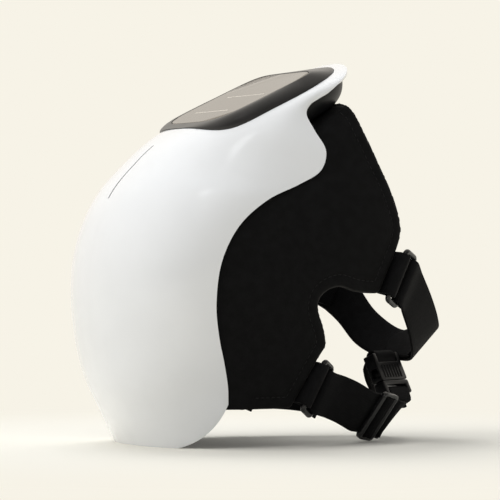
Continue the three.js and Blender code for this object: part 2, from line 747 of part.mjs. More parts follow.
// Tab that ties a ring to its wing: sewn inside the wing, out round the ring's bar and back inside.
const tabTurn = (barCorner + gap + tabThick / 2) / webBend;
// Its stations round the bar, in half turns.
const tabTurnShares = [1 / 3, 7 / 12, 5 / 6, 13 / 12, 4 / 3, 19 / 12];
const tabSewn = 9; // length of a tab that lies against the wing
const tabReach = 6.2; // ring's bar to the first stitches behind the wing's edge
const tabEdgeShares = [[1, -2.9], [0.28, -2.4]]; // a tab's two layers beside the wing's edge, from the bar

// Place inside the left wing at a depth under its inner face.
function insideWing(x, z, depth) {
  const reachY = (placeX, placeZ) => {
    const share = (placeZ - foldFootZ) / (foldHeadZ - foldFootZ);
    return wingPoint(placeZ, placeX - THREE.MathUtils.lerp(foldFootX, foldHeadX, share)).y;
  };
  const here = reachY(x, z);
  const stretch = Math.hypot(1, (reachY(x + gap, z) - here) / gap, (reachY(x, z + gap) - here) / gap);
  return new THREE.Vector3(x, -(here - (wrapWall + depth) * stretch), z);
}

function tabSolid(name) {
  const { place, along, across } = ringFrame(name);
  const bar = place.clone().addScaledVector(across, -barOffset);
  const into = new THREE.Vector3(-along.z, 0, along.x);
  const sewn = (distance, layer) => {
    const middle = bar.clone().addScaledVector(into, distance);
    const edge = along.clone().multiplyScalar(tabWidth / 2);
    const depth = (2 * gap + tabThick) * layer + 4 * gap + tabThick / 2;
    const [low, high] = [-1, 1].map((end) => {
      const { x, z } = middle.clone().addScaledVector(edge, end);
      return insideWing(x, z, depth);
    });
    const at = low.clone().add(high).divideScalar(2);
    // The flat tab clears the wing's hollow side.
    at.y = Math.max(at.y, insideWing(middle.x, middle.z, depth).y);
    return { at, across: high.sub(low).normalize() };
  };
  const out = across.clone().cross(along);
  const beside = (forward, outward, wide = along) => ({
    at: bar.clone().addScaledVector(across, tabTurn * forward).addScaledVector(out, tabTurn * outward),
    across: wide,
  });
  const round = tabTurnShares.map((share) => beside(Math.sin(share * Math.PI), -Math.cos(share * Math.PI)));
  const [near, far] = [tabReach, tabReach + tabSewn];
  const wide = sewn(near, 0).across; // beside its edge the tab lies as the wing does
  const [inner, outer] = tabEdgeShares.map(([forward, outward]) => beside(forward, outward, wide));
  const route = [sewn(far, 1), sewn(near, 1), inner, ...round, outer, sewn(near, 0), sewn(far, 0)];
  return cut(ribbon(route, tabWidth, tabThick), mirrored(wing(gap)));
}

// Routes of the straps. Columns: X, Y and Z as shares of frontReach, halfWidth and overallHeight, then the
// direction across the web.
const upperRouteShares = [
  [0.772, -0.704, 0.399, 0.45, 0.02, 0.89], [0.884, -0.553, 0.336, 0.55, 0.05, 0.83],
  [0.986, -0.368, 0.280, 0.68, 0.1, 0.72], [1.047, -0.184, 0.253, 0.72, 0.1, 0.68],
  [1.035, 0.000, 0.248, 0.72, 0.25, 0.64], [0.963, 0.184, 0.252, 0.71, 0.39, 0.59],
  [0.870, 0.368, 0.294, 0.62, 0.28, 0.73], [0.815, 0.540, 0.358, 0.52, 0.1, 0.84],
  [0.772, 0.704, 0.399, 0.45, -0.02, 0.89],
];
const lowerLeftShares = [
  [0.290, -0.684, 0.125, 0.475, -0.1, 0.85], [0.390, -0.650, 0.107, 0.46, -0.25, 0.85],
  [0.500, -0.605, 0.081, 0.42, -0.36, 0.84],
];
const lowerRearShares = [
  [0.722, -0.440, 0.056, 0.395, -0.383, 0.836], [0.759, -0.404, 0.060, 0.6, -0.2, 0.75],
  [0.771, -0.380, 0.086, 0.92, 0.3, 0.2], [0.831, -0.384, 0.107, 0.88, 0.47, 0],
];
const lowerRightShares = [
  [0.262, 0.730, 0.129, 0.47, 0.02, 0.87], [0.400, 0.700, 0.124, 0.48, 0.04, 0.87],
  [0.558, 0.632, 0.116, 0.5, 0.08, 0.86], [0.726, 0.513, 0.097, 0.56, 0.25, 0.79],
  [0.837, 0.355, 0.084, 0.66, 0.45, 0.6], [0.874, 0.190, 0.095, 0.78, 0.5, 0.35],
  [0.837, 0.000, 0.122, 0.84, 0.5, 0.15], [0.776, -0.070, 0.160, 0.87, 0.48, 0.05],
  [0.736, -0.132, 0.190, 0.88, 0.47, 0],
];

const [upperSteps, lowerFrontSteps, lowerRearSteps, lowerRightSteps] = [26, 5, 8, 14];
const tailSteps = 52;
const tailShares = [0.36, 0.62]; // where the tail starts and ends along the strap
const tailRoundSteps = 5; // steps over which its end rounds off
const tailTip = 0.1;
const tailWidthShare = 0.94;

function upperStrap() {
  const start = strapStart('upper');
  const end = mirrorStations(start).reverse();
  return ribbon([...start, ...routeStations(upperRouteShares, upperSteps), ...end], webWidth, webThick);
}

// Loose tail of the upper strap: a rounded end that lies inside the strap behind the knee.
function upperTail() {
  const stations = routeStations(upperRouteShares, tailSteps).map((station, k, all) => {
    const ahead = all[Math.min(k + 1, all.length - 1)].at;
    const behind = all[Math.max(k - 1, 0)].at;
    const inward = station.across.clone().cross(ahead.clone().sub(behind)).normalize();
    return { ...station, at: station.at.clone().addScaledVector(inward, webThick + layerGap) };
  });
  const [first, last] = tailShares.map((share) => Math.round(share * tailSteps));
  return ribbon(stations.slice(first, last + 1).map((station, k, all) => {
    const fromEnd = Math.min((all.length - 1 - k) / tailRoundSteps, 1);
    return { ...station, share: Math.sqrt(1 - (1 - tailTip) * (1 - fromEnd) ** 2) * tailWidthShare };
  }), webWidth, webThick);
}

// Slider on the lower left strap
const sliderPlace = [0.623, -0.526]; // its lowest corner stands on the floor
const sliderBars = direction([0.395, -0.383, 0.836]);
const sliderLead = direction([0.835, 0.53, -0.153]);

const sliderAcross = sliderLead.clone().addScaledVector(sliderBars, -sliderLead.dot(sliderBars)).normalize();

function sliderFrame() {
  const [x, y] = sliderPlace;
  const turned = sliderBlank().applyMatrix4(frameAt(new THREE.Vector3(), sliderBars, sliderAcross));
  turned.computeBoundingBox();
  const place = new THREE.Vector3(x * frontReach, y * halfWidth, -turned.boundingBox.min.z);
  return { place, lead: sliderAcross, out: sliderBars.clone().cross(sliderAcross).negate() };
}

function sliderBlank() {
  const slot = (sliderWidth - 3 * sliderBar) / 2;
  const holes = [-1, 1].map((side) => {
    const hole = new THREE.Path();
    const middle = side * (slot + sliderBar) / 2;
    const [x, y] = [webWidth / 2 + gap, slot / 2];
    hole.moveTo(-x, middle - y);
    hole.lineTo(-x, middle + y);
    hole.lineTo(x, middle + y);
    hole.lineTo(x, middle - y);
    return hole;
  });
  return roundedBox(sliderLength, sliderWidth, sliderThick, sliderBar + gap, holes);
}

const slider = () => sliderBlank().applyMatrix4(frameAt(sliderFrame().place, sliderBars, sliderAcross));

const weaveBendSteps = 8;
const weaveBendShare = 0.75; // part of the web's rise on each side of a slot's middle

// The web goes under the slider's side bars and over its middle bar.
function sliderWeave() {
  const slot = (sliderWidth - 3 * sliderBar) / 2;
  const lift = sliderThick / 2 + gap + webThick / 2;
  const slotMiddle = (slot + sliderBar) / 2;
  const { place, lead, out } = sliderFrame();
  const bend = slot / weaveBendSteps;
  const past = (sliderWidth + slot) / 2;
  const rising = [[-past, -1], [-slotMiddle - slot / 2, -1], [-slotMiddle - bend, -weaveBendShare],
    [-slotMiddle, 0], [-slotMiddle + bend, weaveBendShare], [-sliderBar / 2, 1]];
  const rows = [...rising, ...rising.map(([along, height]) => [-along, height]).reverse()];
  return rows.map(([along, height]) => ({
    at: place.clone().addScaledVector(lead, along).addScaledVector(out, height * lift), across: sliderBars,
  }));
}

// Buckle frame: X across the web, Y from the male half up to the female half
const bucklePlace = [0.7935, -0.287, 0.154];
const buckleRise = direction([-0.2, 0.37, 0.9]);
const buckleAcross = direction([0.88, 0.47, 0]);

function buckleFrame() {
  const [x, y, z] = bucklePlace;
  const across = buckleAcross.clone().addScaledVector(buckleRise, -buckleAcross.dot(buckleRise)).normalize();
  const place = new THREE.Vector3(x * frontReach, y * halfWidth, z * overallHeight);
  return { place, across, out: across.clone().cross(buckleRise), matrix: frameAt(place, across, buckleRise) };
}

const box = (x, y, z, place) => new THREE.BoxGeometry(x, y, z).translate(...place);
const buckleShare = buckleWebWidth / webWidth;
const buckleTurn = (Math.SQRT1_2 * buckleBar + gap + webThick / 2) / webBend;
const slotWidth = buckleTurn + webThick / 2 + gap - buckleBar / 2;
const socketBarAt = socketLength - buckleBar / 2;
const plugBarAt = -plugLength + buckleBar / 2;
const cavityDepth = socketLength - buckleBar - slotWidth - buckleWall;
const prongLength = cavityDepth - 2 * gap;
const windowShare = 0.55; // middle of the side windows along the cavity

// What is taken off a bar's two faces, so that the turn of webbing lies lower than the body.
const thinning = (middle, side) => box(buckleWebWidth + 2 * gap, buckleBar + slotWidth + overrun, buckleThick,
  [0, middle, side * (buckleThick + buckleBar) / 2]);

function buckleSocket() {
  const body = roundedBox(buckleWidth, socketLength, buckleThick, buckleBar / 2)
    .translate(0, socketLength / 2, 0);
  const cavity = box(buckleWidth - 2 * buckleWall, cavityDepth + overrun, buckleThick - 2 * buckleWall,
    [0, (cavityDepth - overrun) / 2, 0]);
  const window = [2 * buckleWall + gap, cavityDepth / 2, buckleThick - 2 * buckleWall];
  const windows = [-1, 1]
    .map((side) => box(...window, [side * buckleWidth / 2, cavityDepth * windowShare, 0]));
  const slot = box(buckleWebWidth + 2 * gap, slotWidth, buckleThick + overrun,
    [0, socketLength - buckleBar - slotWidth / 2, 0]);
  const thinMiddle = socketLength - (buckleBar + slotWidth - overrun) / 2;
  const thinned = [-1, 1].map((side) => thinning(thinMiddle, side));
  return cut(body, cavity, ...windows, slot, ...thinned).applyMatrix4(buckleFrame().matrix);
}

function bucklePlug() {
  const base = roundedBox(buckleWidth, plugLength - gap, buckleThick, buckleBar / 2)
    .translate(0, -(plugLength + gap) / 2, 0);
  const slot = box(buckleWebWidth + 2 * gap, slotWidth, buckleThick + overrun,
    [0, -plugLength + buckleBar + slotWidth / 2, 0]);
  const thinMiddle = -plugLength + (buckleBar + slotWidth - overrun) / 2;
  const thinned = [-1, 1].map((side) => thinning(thinMiddle, side));
  const tongue = box(prongWidth, prongLength + 2 * gap, prongThick, [0, prongLength / 2 - 2 * gap, 0]);
  return cut(join(base, tongue), slot, ...thinned).applyMatrix4(buckleFrame().matrix);
}

const prongShares = [0.3, 0.34, 0.5, 0.72, 0.76]; // stations of its outer edge along its length
const prongCurveSteps = 3;

// Sprung prong of the male half, with the release tab that shows in the socket's side window.
function prong(side) {
  const outer = buckleWidth / 2 - buckleWall - gap;
  const [leave, swell, widest, ease, shoulder] = prongShares.map((share) => share * prongLength);
  const shape = new THREE.Shape();
  shape.moveTo(side * (outer - prongWidth), gap);
  shape.lineTo(side * (outer - prongWidth / 2), gap);
  shape.lineTo(side * (outer - prongWidth / 4), leave);
  shape.quadraticCurveTo(side * outer, swell, side * outer, widest);
  shape.quadraticCurveTo(side * outer, ease, side * (outer - prongWidth / 4), shoulder);
  shape.lineTo(side * (outer - prongWidth / 2), prongLength);
  shape.lineTo(side * (outer - prongWidth), prongLength);
  shape.closePath();
  const settings = { depth: prongThick, bevelEnabled: false, curveSegments: prongCurveSteps };
  return new THREE.ExtrudeGeometry(shape, settings)
    .translate(0, 0, -prongThick / 2)
    .applyMatrix4(buckleFrame().matrix);
}

const buckleTail = 9;

function lowerLeftStrap() {
  const { place, across, out } = buckleFrame();
  const bar = place.clone().addScaledVector(buckleRise, plugBarAt);
  const down = buckleRise.clone().negate();
  const end = barTurn(bar, across, down, out.clone().negate(), buckleTurn, buckleTail, buckleShare);
  const weave = sliderWeave();
  const front = routeStations(lowerLeftShares, lowerFrontSteps);
  const rear = routeStations(lowerRearShares, lowerRearSteps, [1, buckleShare]);
  return ribbon([...strapStart('lower'), ...front, ...weave, ...rear, ...end.reverse()], webWidth, webThick);
}

function lowerRightStrap() {
  const { place, across, out } = buckleFrame();
  const bar = place.clone().addScaledVector(buckleRise, socketBarAt);
  const down = buckleRise.clone().negate();
  const end = barTurn(bar, across, down, out, buckleTurn, buckleTail / 2, buckleShare);
  const route = routeStations(lowerRightShares, lowerRightSteps, [1, buckleShare]);
  return ribbon([...mirrorStations(strapStart('lower')), ...route, ...end.reverse()], webWidth, webThick);
}

// Inside the shell and the wrap

const barSteps = 8;
// Share of the shell's width near its middle.
const acrossShell = (distance) => distance / halfWidth * 2 / Math.PI;

// Cradle of the two motors: half-round seats on a block that follows the inside of the shell.
function motorCradle() {
  const seat = motorDiameter / 2 + gap;
  const outer = seat + cradleWall;
  const depth = frontReach + motorAxisX;
  const middle = motorFoot + cradleHeight;
  const block = box(depth, motorSpacing + 2 * outer, cradleHeight, [motorAxisX - depth / 2, 0, middle]);
  const places = [-1, 1].map((side) => [motorAxisX, side * motorSpacing / 2, middle]);
  const rounds = places.map((place) => cylinder(2 * outer, cradleHeight, fineSides).translate(...place));
  const bores = places.map((place) => cylinder(2 * seat, 2 * cradleHeight, fineSides).translate(...place));
  const high = 2 * cradleHeight;
  const rear = box(frontReach, 2 * motorSpacing, high, [motorAxisX + cradleWall + frontReach / 2, 0, middle]);
  const relief = box(depth, motorSpacing - 2 * outer, high, [motorAxisX - seat + depth / 2, 0, middle]);
  const room = shellSheet(pastEdge, 2 * overrun, -shellWall - gap);
  return cut(join(block, ...rounds), ...bores, rear, relief, room);
}

const motor = (side) => cylinder(motorDiameter, motorLength, fineSides)
  .translate(motorAxisX, side * motorSpacing / 2, motorFoot + motorLength / 2);

// Eccentric weight: a half disc and the end of the shaft that carries it.
function motorWeight(side) {
  const half = new THREE.Shape();
  half.absarc(0, 0, weightRadius, -Math.PI / 2, Math.PI / 2);
  half.closePath();
  const settings = { depth: weightThick, bevelEnabled: false, curveSegments: shaftSides };
  const disc = new THREE.ExtrudeGeometry(half, settings);
  const shaftLength = weightThick + motorGap - gap;
  const shaft = cylinder(motorShaftDiameter, shaftLength, shaftSides)
    .translate(0, 0, weightThick - shaftLength / 2);
  return join(disc, shaft).translate(motorAxisX, side * motorSpacing / 2, motorFoot + motorLength + motorGap);
}

// Air bag: a flat pouch against the wrap that swells in its middle.
function airBag(place) {
  const pillow = (u, t) => (16 * u * (1 - u) * t * (1 - t)) ** bagFullness;
  return layer(place, constant(-wrapWall - layerGap),
    (u, t) => -wrapWall - layerGap - bagSkin - bagRise * pillow(u, t));
}

// Each layer covers whole fields of the wrap's own grid, so that its facets lie parallel to the wrap's.
const bagFullness = 0.5;
const frontBagFields = [[4, 10], [-5, 5]]; // first and last grid line, along and across the wrap
const sideBagFields = [[4, 10], [6, 11]];
const filmFields = [[2, 11], [-11, 11]];
const liningFields = [[1, 13], [-12, 12]];
const channelCount = 6; // sewn channels of the lining, up and down the leg

function layer([[fromU, toU], [fromT, toT]], outer, inner) {
  const half = wrapCountT / 2;
  const [spanU, spanT] = [[fromU / wrapCountU, toU / wrapCountU], [fromT / half, toT / half]];
  return sheet(wrapSurface, spanU, spanT, toU - fromU, toT - fromT, outer, inner);
}

function lining() {
  const channel = (t) => Math.abs(Math.sin(t * channelCount * Math.PI));
  return layer(liningFields, constant(-liningDepth),
    (u, t) => -liningDepth - liningThick + liningChannel * (1 - channel(t)));
}

// Assembly

const whole = new THREE.Group();
whole.position.x = -originSetback;

function add(name, geometry, finish, parent = whole) {
  const mesh = new THREE.Mesh(geometry, finish);
  mesh.name = name;
  parent.add(mesh);
  return mesh;
}

const pod = new THREE.Group();
pod.position.set(podBaseX, 0, podBaseZ);
pod.rotation.y = -podTilt;
whole.add(pod);

const podHole = ringStack([ringAt((angle) => podOutline(angle, -gap), -housingFloor),
  ringAt((angle) => podOutline(angle, -gap), housingFloor)]).applyMatrix4(podFrame);
const shellBlank = shellSheet(1, 0, -shellWall);
const ground = box(2 * frontReach, 2 * frontReach, overrun, [-frontReach / 2, 0, -overrun / 2]);
const slotGap = barWidth / 2 + gap;
const lightSlot = sheet(shellSurface, barShares, [-acrossShell(slotGap), acrossShell(slotGap)], barSteps, 1,
  constant(overrun), constant(-shellWall - overrun));
add('front_shell', cut(shellBlank, podHole, ground, lightSlot), glossWhite);
const barEnds = [barShares[0] + gap / overallHeight, barShares[1] - gap / overallHeight];
const barSides = [-acrossShell(barWidth / 2), acrossShell(barWidth / 2)];
const [barOuter, barInner] = [-gap, -shellWall].map(constant);
add('light_bar', sheet(shellSurface, barEnds, barSides, barSteps, 1, barOuter, barInner), rubber);
const [wrapOuter, wrapInner] = [0, -wrapWall].map(constant);
const wrapBlank = sheet(wrapSurface, [0, 1], [-1, 1], wrapCountU, wrapCountT, wrapOuter, wrapInner);
const shellRoom = shellSheet(pastEdge, overrun, -shellWall - 2 * gap);
const lowerRoom = shellRoom.clone().translate(2 * gap, 0, -shellWall);
add('wrap_body', cut(wrapBlank, behindFold(), shellRoom, lowerRoom), neoprene);
add('motor_cradle', motorCradle(), plastic);
for (const [name, side] of [['left', -1], ['right', 1]]) {
  add(`${name}_motor`, motor(side), steel);
  add(`${name}_motor_weight`, motorWeight(side), steel);
}
add('front_air_bag', airBag(frontBagFields), rubber);
add('right_air_bag', airBag(sideBagFields), rubber);
add('left_air_bag', mirrored(airBag(sideBagFields)), rubber);
add('heating_film', layer(filmFields, constant(-filmDepth), constant(-filmDepth - filmThick)), filmAmber);
add('inner_lining', lining(), neoprene);
add('right_wing', wing(), neoprene);
add('left_wing', mirrored(wing()), neoprene);
add('inner_housing', innerHousing(), satinBlack, pod);
add('control_pod', podWithBosses(), podCharcoal, pod);
const panelBevel = panelThick / 4;
add('touch_panel', ringStack([
  ringAt((angle) => panelOutline(angle, 0), podTop - panelRecess + gap),
  ringAt((angle) => panelOutline(angle, 0), podTop - panelRecess + gap + panelThick - panelBevel),
  ringAt((angle) => panelOutline(angle, -panelBevel), podTop - panelRecess + gap + panelThick),
]), panelGlass, pod);
add('pod_chassis', chassis(), plastic, pod);
bossPlaces.forEach(([x, y], k) => add(`chassis_screw_${k + 1}`, screw().translate(x, y, 0), steel, pod));
add('main_board', roundedBox(boardLength, boardWidth, boardThick, gap * 4)
  .translate(0, 0, podCeiling - gap - boardThick / 2), greenBoard, pod);
const floorRest = -housingFloor + gap;
add('battery', roundedBox(batteryLength, batteryWidth, batteryThick, batteryThick / 3)
  .translate(batteryX, 0, floorRest + batteryThick / 2), foil, pod);
const pump = cylinder(pumpDiameter, pumpLength, fineSides).rotateX(Math.PI / 2);
add('air_pump', pump.translate(pumpX, -pumpLength / 4, floorRest + pumpDiameter / 2), steel, pod);
add('air_valve', roundedBox(valveSize, 2 * valveSize, valveSize, gap * 3)
  .translate(valveX, 0, floorRest + valveSize / 2), plastic, pod);

for (const [sideName, turn] of [['left', (geometry) => geometry], ['right', mirrored]]) {
  for (const level of ['upper', 'lower']) {
    add(`${sideName}_${level}_ring`, turn(mergeVertices(stripped(ringSolid(level)))), plastic);
    add(`${sideName}_${level}_tab`, turn(tabSolid(level)), webbing);
  }
}

add('upper_strap', upperStrap(), webbing);
add('upper_strap_tail', upperTail(), webbing);
add('lower_left_strap', lowerLeftStrap(), webbing);
add('lower_right_strap', lowerRightStrap(), webbing);
add('strap_slider', slider(), plastic);
add('buckle_socket', buckleSocket(), plastic);
add('buckle_plug', bucklePlug(), plastic);
add('left_prong', prong(-1), plastic);
add('right_prong', prong(1), plastic);

export default whole;
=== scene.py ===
# Knee massager: a glossy moulded front shell over a soft wrap with two wings, a control pod on top, and two
# straps that close behind the knee. The studio comes first, then each piece in the order of assembly.
import math

import bmesh
import bpy
import numpy as np
from mathutils import Matrix, Vector


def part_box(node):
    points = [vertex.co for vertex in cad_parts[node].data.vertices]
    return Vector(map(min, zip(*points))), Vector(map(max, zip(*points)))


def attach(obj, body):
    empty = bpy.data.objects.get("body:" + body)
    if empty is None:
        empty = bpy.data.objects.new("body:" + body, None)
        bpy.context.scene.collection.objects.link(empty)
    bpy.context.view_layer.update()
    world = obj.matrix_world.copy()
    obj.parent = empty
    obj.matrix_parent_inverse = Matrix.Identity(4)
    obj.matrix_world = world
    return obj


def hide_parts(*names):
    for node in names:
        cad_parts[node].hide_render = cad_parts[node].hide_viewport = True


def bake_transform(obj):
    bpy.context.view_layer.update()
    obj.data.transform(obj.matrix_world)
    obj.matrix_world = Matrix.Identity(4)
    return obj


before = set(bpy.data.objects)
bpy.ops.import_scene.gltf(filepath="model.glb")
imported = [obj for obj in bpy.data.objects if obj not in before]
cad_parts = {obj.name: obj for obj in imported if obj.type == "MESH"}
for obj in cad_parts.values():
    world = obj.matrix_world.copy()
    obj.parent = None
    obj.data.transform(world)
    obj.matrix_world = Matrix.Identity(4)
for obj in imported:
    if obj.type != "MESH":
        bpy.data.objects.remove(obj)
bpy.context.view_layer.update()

# Studio: one wide matt card for the floor and plain paper light behind it, of one colour, so that no horizon
# shows. The light is soft, from the left, above and behind. A soft box over the viewer lights all but the
# floor, and a small lamp beside it gives the gloss its streak.
paper, card_tint = (0.930, 0.896, 0.800), (0.90, 0.872, 0.79)
daylight, light_in_gloss, lamp_tint = (0.97, 0.98, 0.99), (1.0, 0.945, 0.86), (0.98, 0.99, 1.0)
bpy.context.scene.view_settings.view_transform = "Standard"
world = bpy.data.worlds.new("paper_light")
bpy.context.scene.world = world
world.use_nodes = True
tree = world.node_tree
tree.nodes.clear()


def add_node(tree, kind, **sockets):
    """Node of a kind, with values for its sockets; an underscore stands for a space in a socket's name."""
    made = tree.nodes.new(f"ShaderNode{kind}")
    for socket, value in sockets.items():
        made.inputs[socket.replace("_", " ")].default_value = value
    return made


def wire(tree, *runs):
    """Links of a tree, each given as a node, its output, the next node and that one's input."""
    for source, output, target, socket in runs:
        tree.links.new(source.outputs[output], target.inputs[socket])


def soft_range(tree, from_low, from_high, to_low, to_high):
    """Node that carries a value from one range over to another on a soft curve."""
    made = add_node(tree, "MapRange", From_Min=from_low, From_Max=from_high, To_Min=to_low, To_Max=to_high)
    made.interpolation_type = "SMOOTHSTEP"
    return made


def deselect():
    bpy.ops.object.select_all(action="DESELECT")


dim_side = (0.05, -0.95, -0.25)
direction, seen = add_node(tree, "TexCoord"), add_node(tree, "LightPath")
facing = add_node(tree, "VectorMath")
facing.operation = "DOT_PRODUCT"
facing.inputs[1].default_value = dim_side
falloff = soft_range(tree, -0.6, 0.75, 0.92, 0.24)
soft_light = add_node(tree, "Background")
backdrop = add_node(tree, "Background", Color=(*paper, 1))
cast = add_node(tree, "Mix")
cast.data_type = "RGBA"
cast.inputs["A"].default_value = (*daylight, 1)
cast.inputs["B"].default_value = (*light_in_gloss, 1)
either, world_out = add_node(tree, "MixShader"), add_node(tree, "OutputWorld")
wire(tree, (direction, "Generated", facing, 0), (facing, "Value", falloff, "Value"),
     (falloff, "Result", soft_light, "Strength"), (seen, "Is Glossy Ray", cast, "Factor"),
     (cast, "Result", soft_light, "Color"), (seen, "Is Camera Ray", either, "Fac"),
     (soft_light, "Background", either, 1), (backdrop, "Background", either, 2),
     (either, "Shader", world_out, "Surface"))

floor_half = 8.0
deselect()
bpy.ops.mesh.primitive_plane_add(size=2 * floor_half, location=(0, 0, 0))
floor = bpy.context.object
floor.name = "studio_floor"
card = bpy.data.materials.new("floor_card")
card.use_nodes = True
tree = card.node_tree
tree.nodes.clear()
matt = add_node(tree, "BsdfDiffuse", Color=(*card_tint, 1))
glow = add_node(tree, "Emission", Color=(*paper, 1))
spot, distance = add_node(tree, "TexCoord"), add_node(tree, "VectorMath")
distance.operation = "LENGTH"
fade = soft_range(tree, 0.12, 0.42, 0.0, 1.0)
both, card_out = add_node(tree, "MixShader"), add_node(tree, "OutputMaterial")
wire(tree, (spot, "Object", distance, 0), (distance, "Value", fade, "Value"), (fade, "Result", both, "Fac"),
     (matt, "BSDF", both, 1), (glow, "Emission", both, 2), (both, "Shader", card_out, "Surface"))
floor.data.materials.append(card)

# The object's origin lies this far behind the line that the sections and outlines below are measured from.
setback = 0.00814
view_turn, view_distance = math.radians(-25), 2.0
view_back = Vector((math.sin(view_turn), -math.cos(view_turn), 0))
view_middle = Vector((-setback, 0, 0.117))
bpy.ops.object.camera_add(location=view_middle + view_distance * view_back,
                          rotation=(-view_back).to_track_quat("-Z", "Y").to_euler())
camera = bpy.context.object
camera.data.lens = 235.3
camera.data.sensor_width = 36
camera.data.clip_end = 50
bpy.context.scene.camera = camera

lamp_aim = Vector((0, 0, 0.1))
lamps = (("key_light", (-1.5, 0.1, 1.2), 1.3, 11), ("back_light", (0.1, 1.0, 1.6), 1.0, 10.5),
         ("streak_light", (-0.60, -0.92, 1.95), 0.32, 0.6), ("soft_box", (-0.20, -1.15, 1.75), 1.0, 11))
for name, place, size, power in lamps:
    turn = (lamp_aim - Vector(place)).to_track_quat("-Z", "Y").to_euler()
    bpy.ops.object.light_add(type="AREA", location=place, rotation=turn)
    lamp = bpy.context.object
    lamp.name = name
    lamp.data.size = size
    lamp.data.energy = power
    lamp.data.color = lamp_tint
    lamp.visible_glossy = name == "streak_light"
# The last lamp, the soft box, leaves the floor out.
shaded = bpy.data.collections.new("out_of_the_soft_box")
shaded.objects.link(floor)
shaded.collection_objects[0].light_linking.link_state = "EXCLUDE"
lamp.light_linking.receiver_collection = shaded

# Front shell: one double-curved moulding of white ABS, 2.6 mm thick, polished and clear coated. It runs from
# a flat hem over the shin and the knee to a flared lip behind the pod; the pod's opening is cut in it.
front_reach, half_width, full_height = 0.1075, 0.076, 0.232
shell_wall, shell_rows, shell_columns = 0.0026, 140, 190
hem_flat, hem_blend, hem_fullness, hem_curve = 0.90, 0.12, 0.028, 1.5
# Columns: x and z of the middle line, x and z of the side, width, all as shares, and squareness.
shell_sections = np.array([
    [-0.735, -0.0066, -0.414, 0.112, 0.860, 2.4], [-0.833, 0.080, -0.426, 0.159, 0.888, 2.4],
    [-0.926, 0.168, -0.460, 0.218, 0.928, 2.35], [-0.980, 0.267, -0.502, 0.287, 0.961, 2.3],
    [-1.000, 0.375, -0.526, 0.371, 0.987, 2.3], [-0.988, 0.478, -0.498, 0.474, 1.000, 2.3],
    [-0.938, 0.573, -0.391, 0.565, 0.993, 2.3], [-0.847, 0.657, -0.214, 0.631, 0.974, 2.35],
    [-0.721, 0.724, -0.009, 0.672, 0.941, 2.4], [-0.577, 0.784, 0.130, 0.707, 0.914, 2.5],
    [-0.414, 0.829, 0.177, 0.759, 0.875, 2.8], [-0.223, 0.864, 0.130, 0.810, 0.816, 3.2],
    [0.000, 0.903, 0.098, 0.853, 0.757, 3.6], [0.233, 0.946, 0.135, 0.879, 0.717, 3.6],
    [0.400, 0.978, 0.186, 0.894, 0.707, 2.8], [0.516, 1.000, 0.244, 0.908, 0.697, 2.1],
])


def row_at(table, share):
    """Row of a table at a share of its length, on a smooth curve through its rows."""
    last = len(table) - 1
    place = min(max(share, 0), 1) * last
    start = min(int(place), last - 1)
    along = place - start
    before = table[start - 1] if start > 0 else 2 * table[0] - table[1]
    after = table[start + 2] if start + 2 <= last else 2 * table[last] - table[last - 1]
    here, ahead = table[start], table[start + 1]
    bend = 2 * before - 5 * here + 4 * ahead - after
    twist = 3 * here - before - 3 * ahead + after
    return here + ((ahead - before) * along + bend * along ** 2 + twist * along ** 3) / 2


def rounded(angle, squareness):
    """Cosine and sine of a rounded section; 2 is an ellipse and more is fuller at its corners."""
    cosine, sine = abs(math.cos(angle)), abs(math.sin(angle))
    radius = (cosine ** squareness + sine ** squareness) ** (-1 / squareness)
    return radius * math.cos(angle), radius * math.sin(angle)


def lerp(low, high, share):
    return low + (high - low) * share


def at_shares(x, y, z):
    """Place given as shares of the reach, the half width and the height."""
    return Vector((x * front_reach - setback, y * half_width, z * full_height))


def shell_point(u, t):
    """Place on the shell's outer face: u from the hem over the front to the lip, t from left to right."""
    front_x, front_z, side_x, side_z, width, squareness = row_at(shell_sections, u)
    cosine, sine = rounded(t * math.pi / 2, squareness)
    hem = max(0, 1 - u / hem_blend) ** 2
    lift = lerp(1 - cosine, max(0, 1 - cosine / hem_flat) ** hem_curve, hem)
    x = lerp(side_x, front_x, cosine) + hem * hem_fullness * 4 * cosine * (1 - cosine)
    return at_shares(x, sine * width, lerp(front_z, side_z, lift))


def grid(name, along, across):
    deselect()
    bpy.ops.mesh.primitive_grid_add(x_subdivisions=along, y_subdivisions=across, size=2)
    bpy.context.object.name = name
    return bpy.context.object


def curved_sheet(name, along, across, place):
    """Grid primitive laid on a surface: its own X runs from 0 to 1 along, its own Y from -1 to 1 across."""
    piece = grid(name, along, across)
    for vertex in piece.data.vertices:
        vertex.co = place((vertex.co.x + 1) / 2, vertex.co.y)
    return piece


def pick(piece):
    deselect()
    piece.select_set(True)
    bpy.context.view_layer.objects.active = piece


def shape(piece, kind, **settings):
    """Adds a modifier and applies it."""
    pick(piece)
    modifier = piece.modifiers.new(kind.lower(), kind)
    for setting, value in settings.items():
        setattr(modifier, setting, value)
    bpy.ops.object.modifier_apply(modifier=modifier.name)


def cut(piece, tool, **settings):
    """Takes the shape of a tool out of a piece, and removes the tool."""
    shape(piece, "BOOLEAN", operation="DIFFERENCE", object=tool, solver="EXACT", **settings)
    bpy.data.objects.remove(tool)


def edit_all():
    """Edit mode on the active piece, with all of it selected."""
    bpy.ops.object.mode_set(mode="EDIT")
    bpy.ops.mesh.select_all(action="SELECT")


def cut_level(height):
    """Takes off what the active piece has below a height, and closes the cut."""
    edit_all()
    bpy.ops.mesh.bisect(plane_co=(0, 0, height), plane_no=(0, 0, 1), use_fill=True, clear_inner=True)
    bpy.ops.object.mode_set(mode="OBJECT")


def smooth(piece, degrees=35):
    pick(piece)
    bpy.ops.object.shade_smooth_by_angle(angle=math.radians(degrees))
    return piece


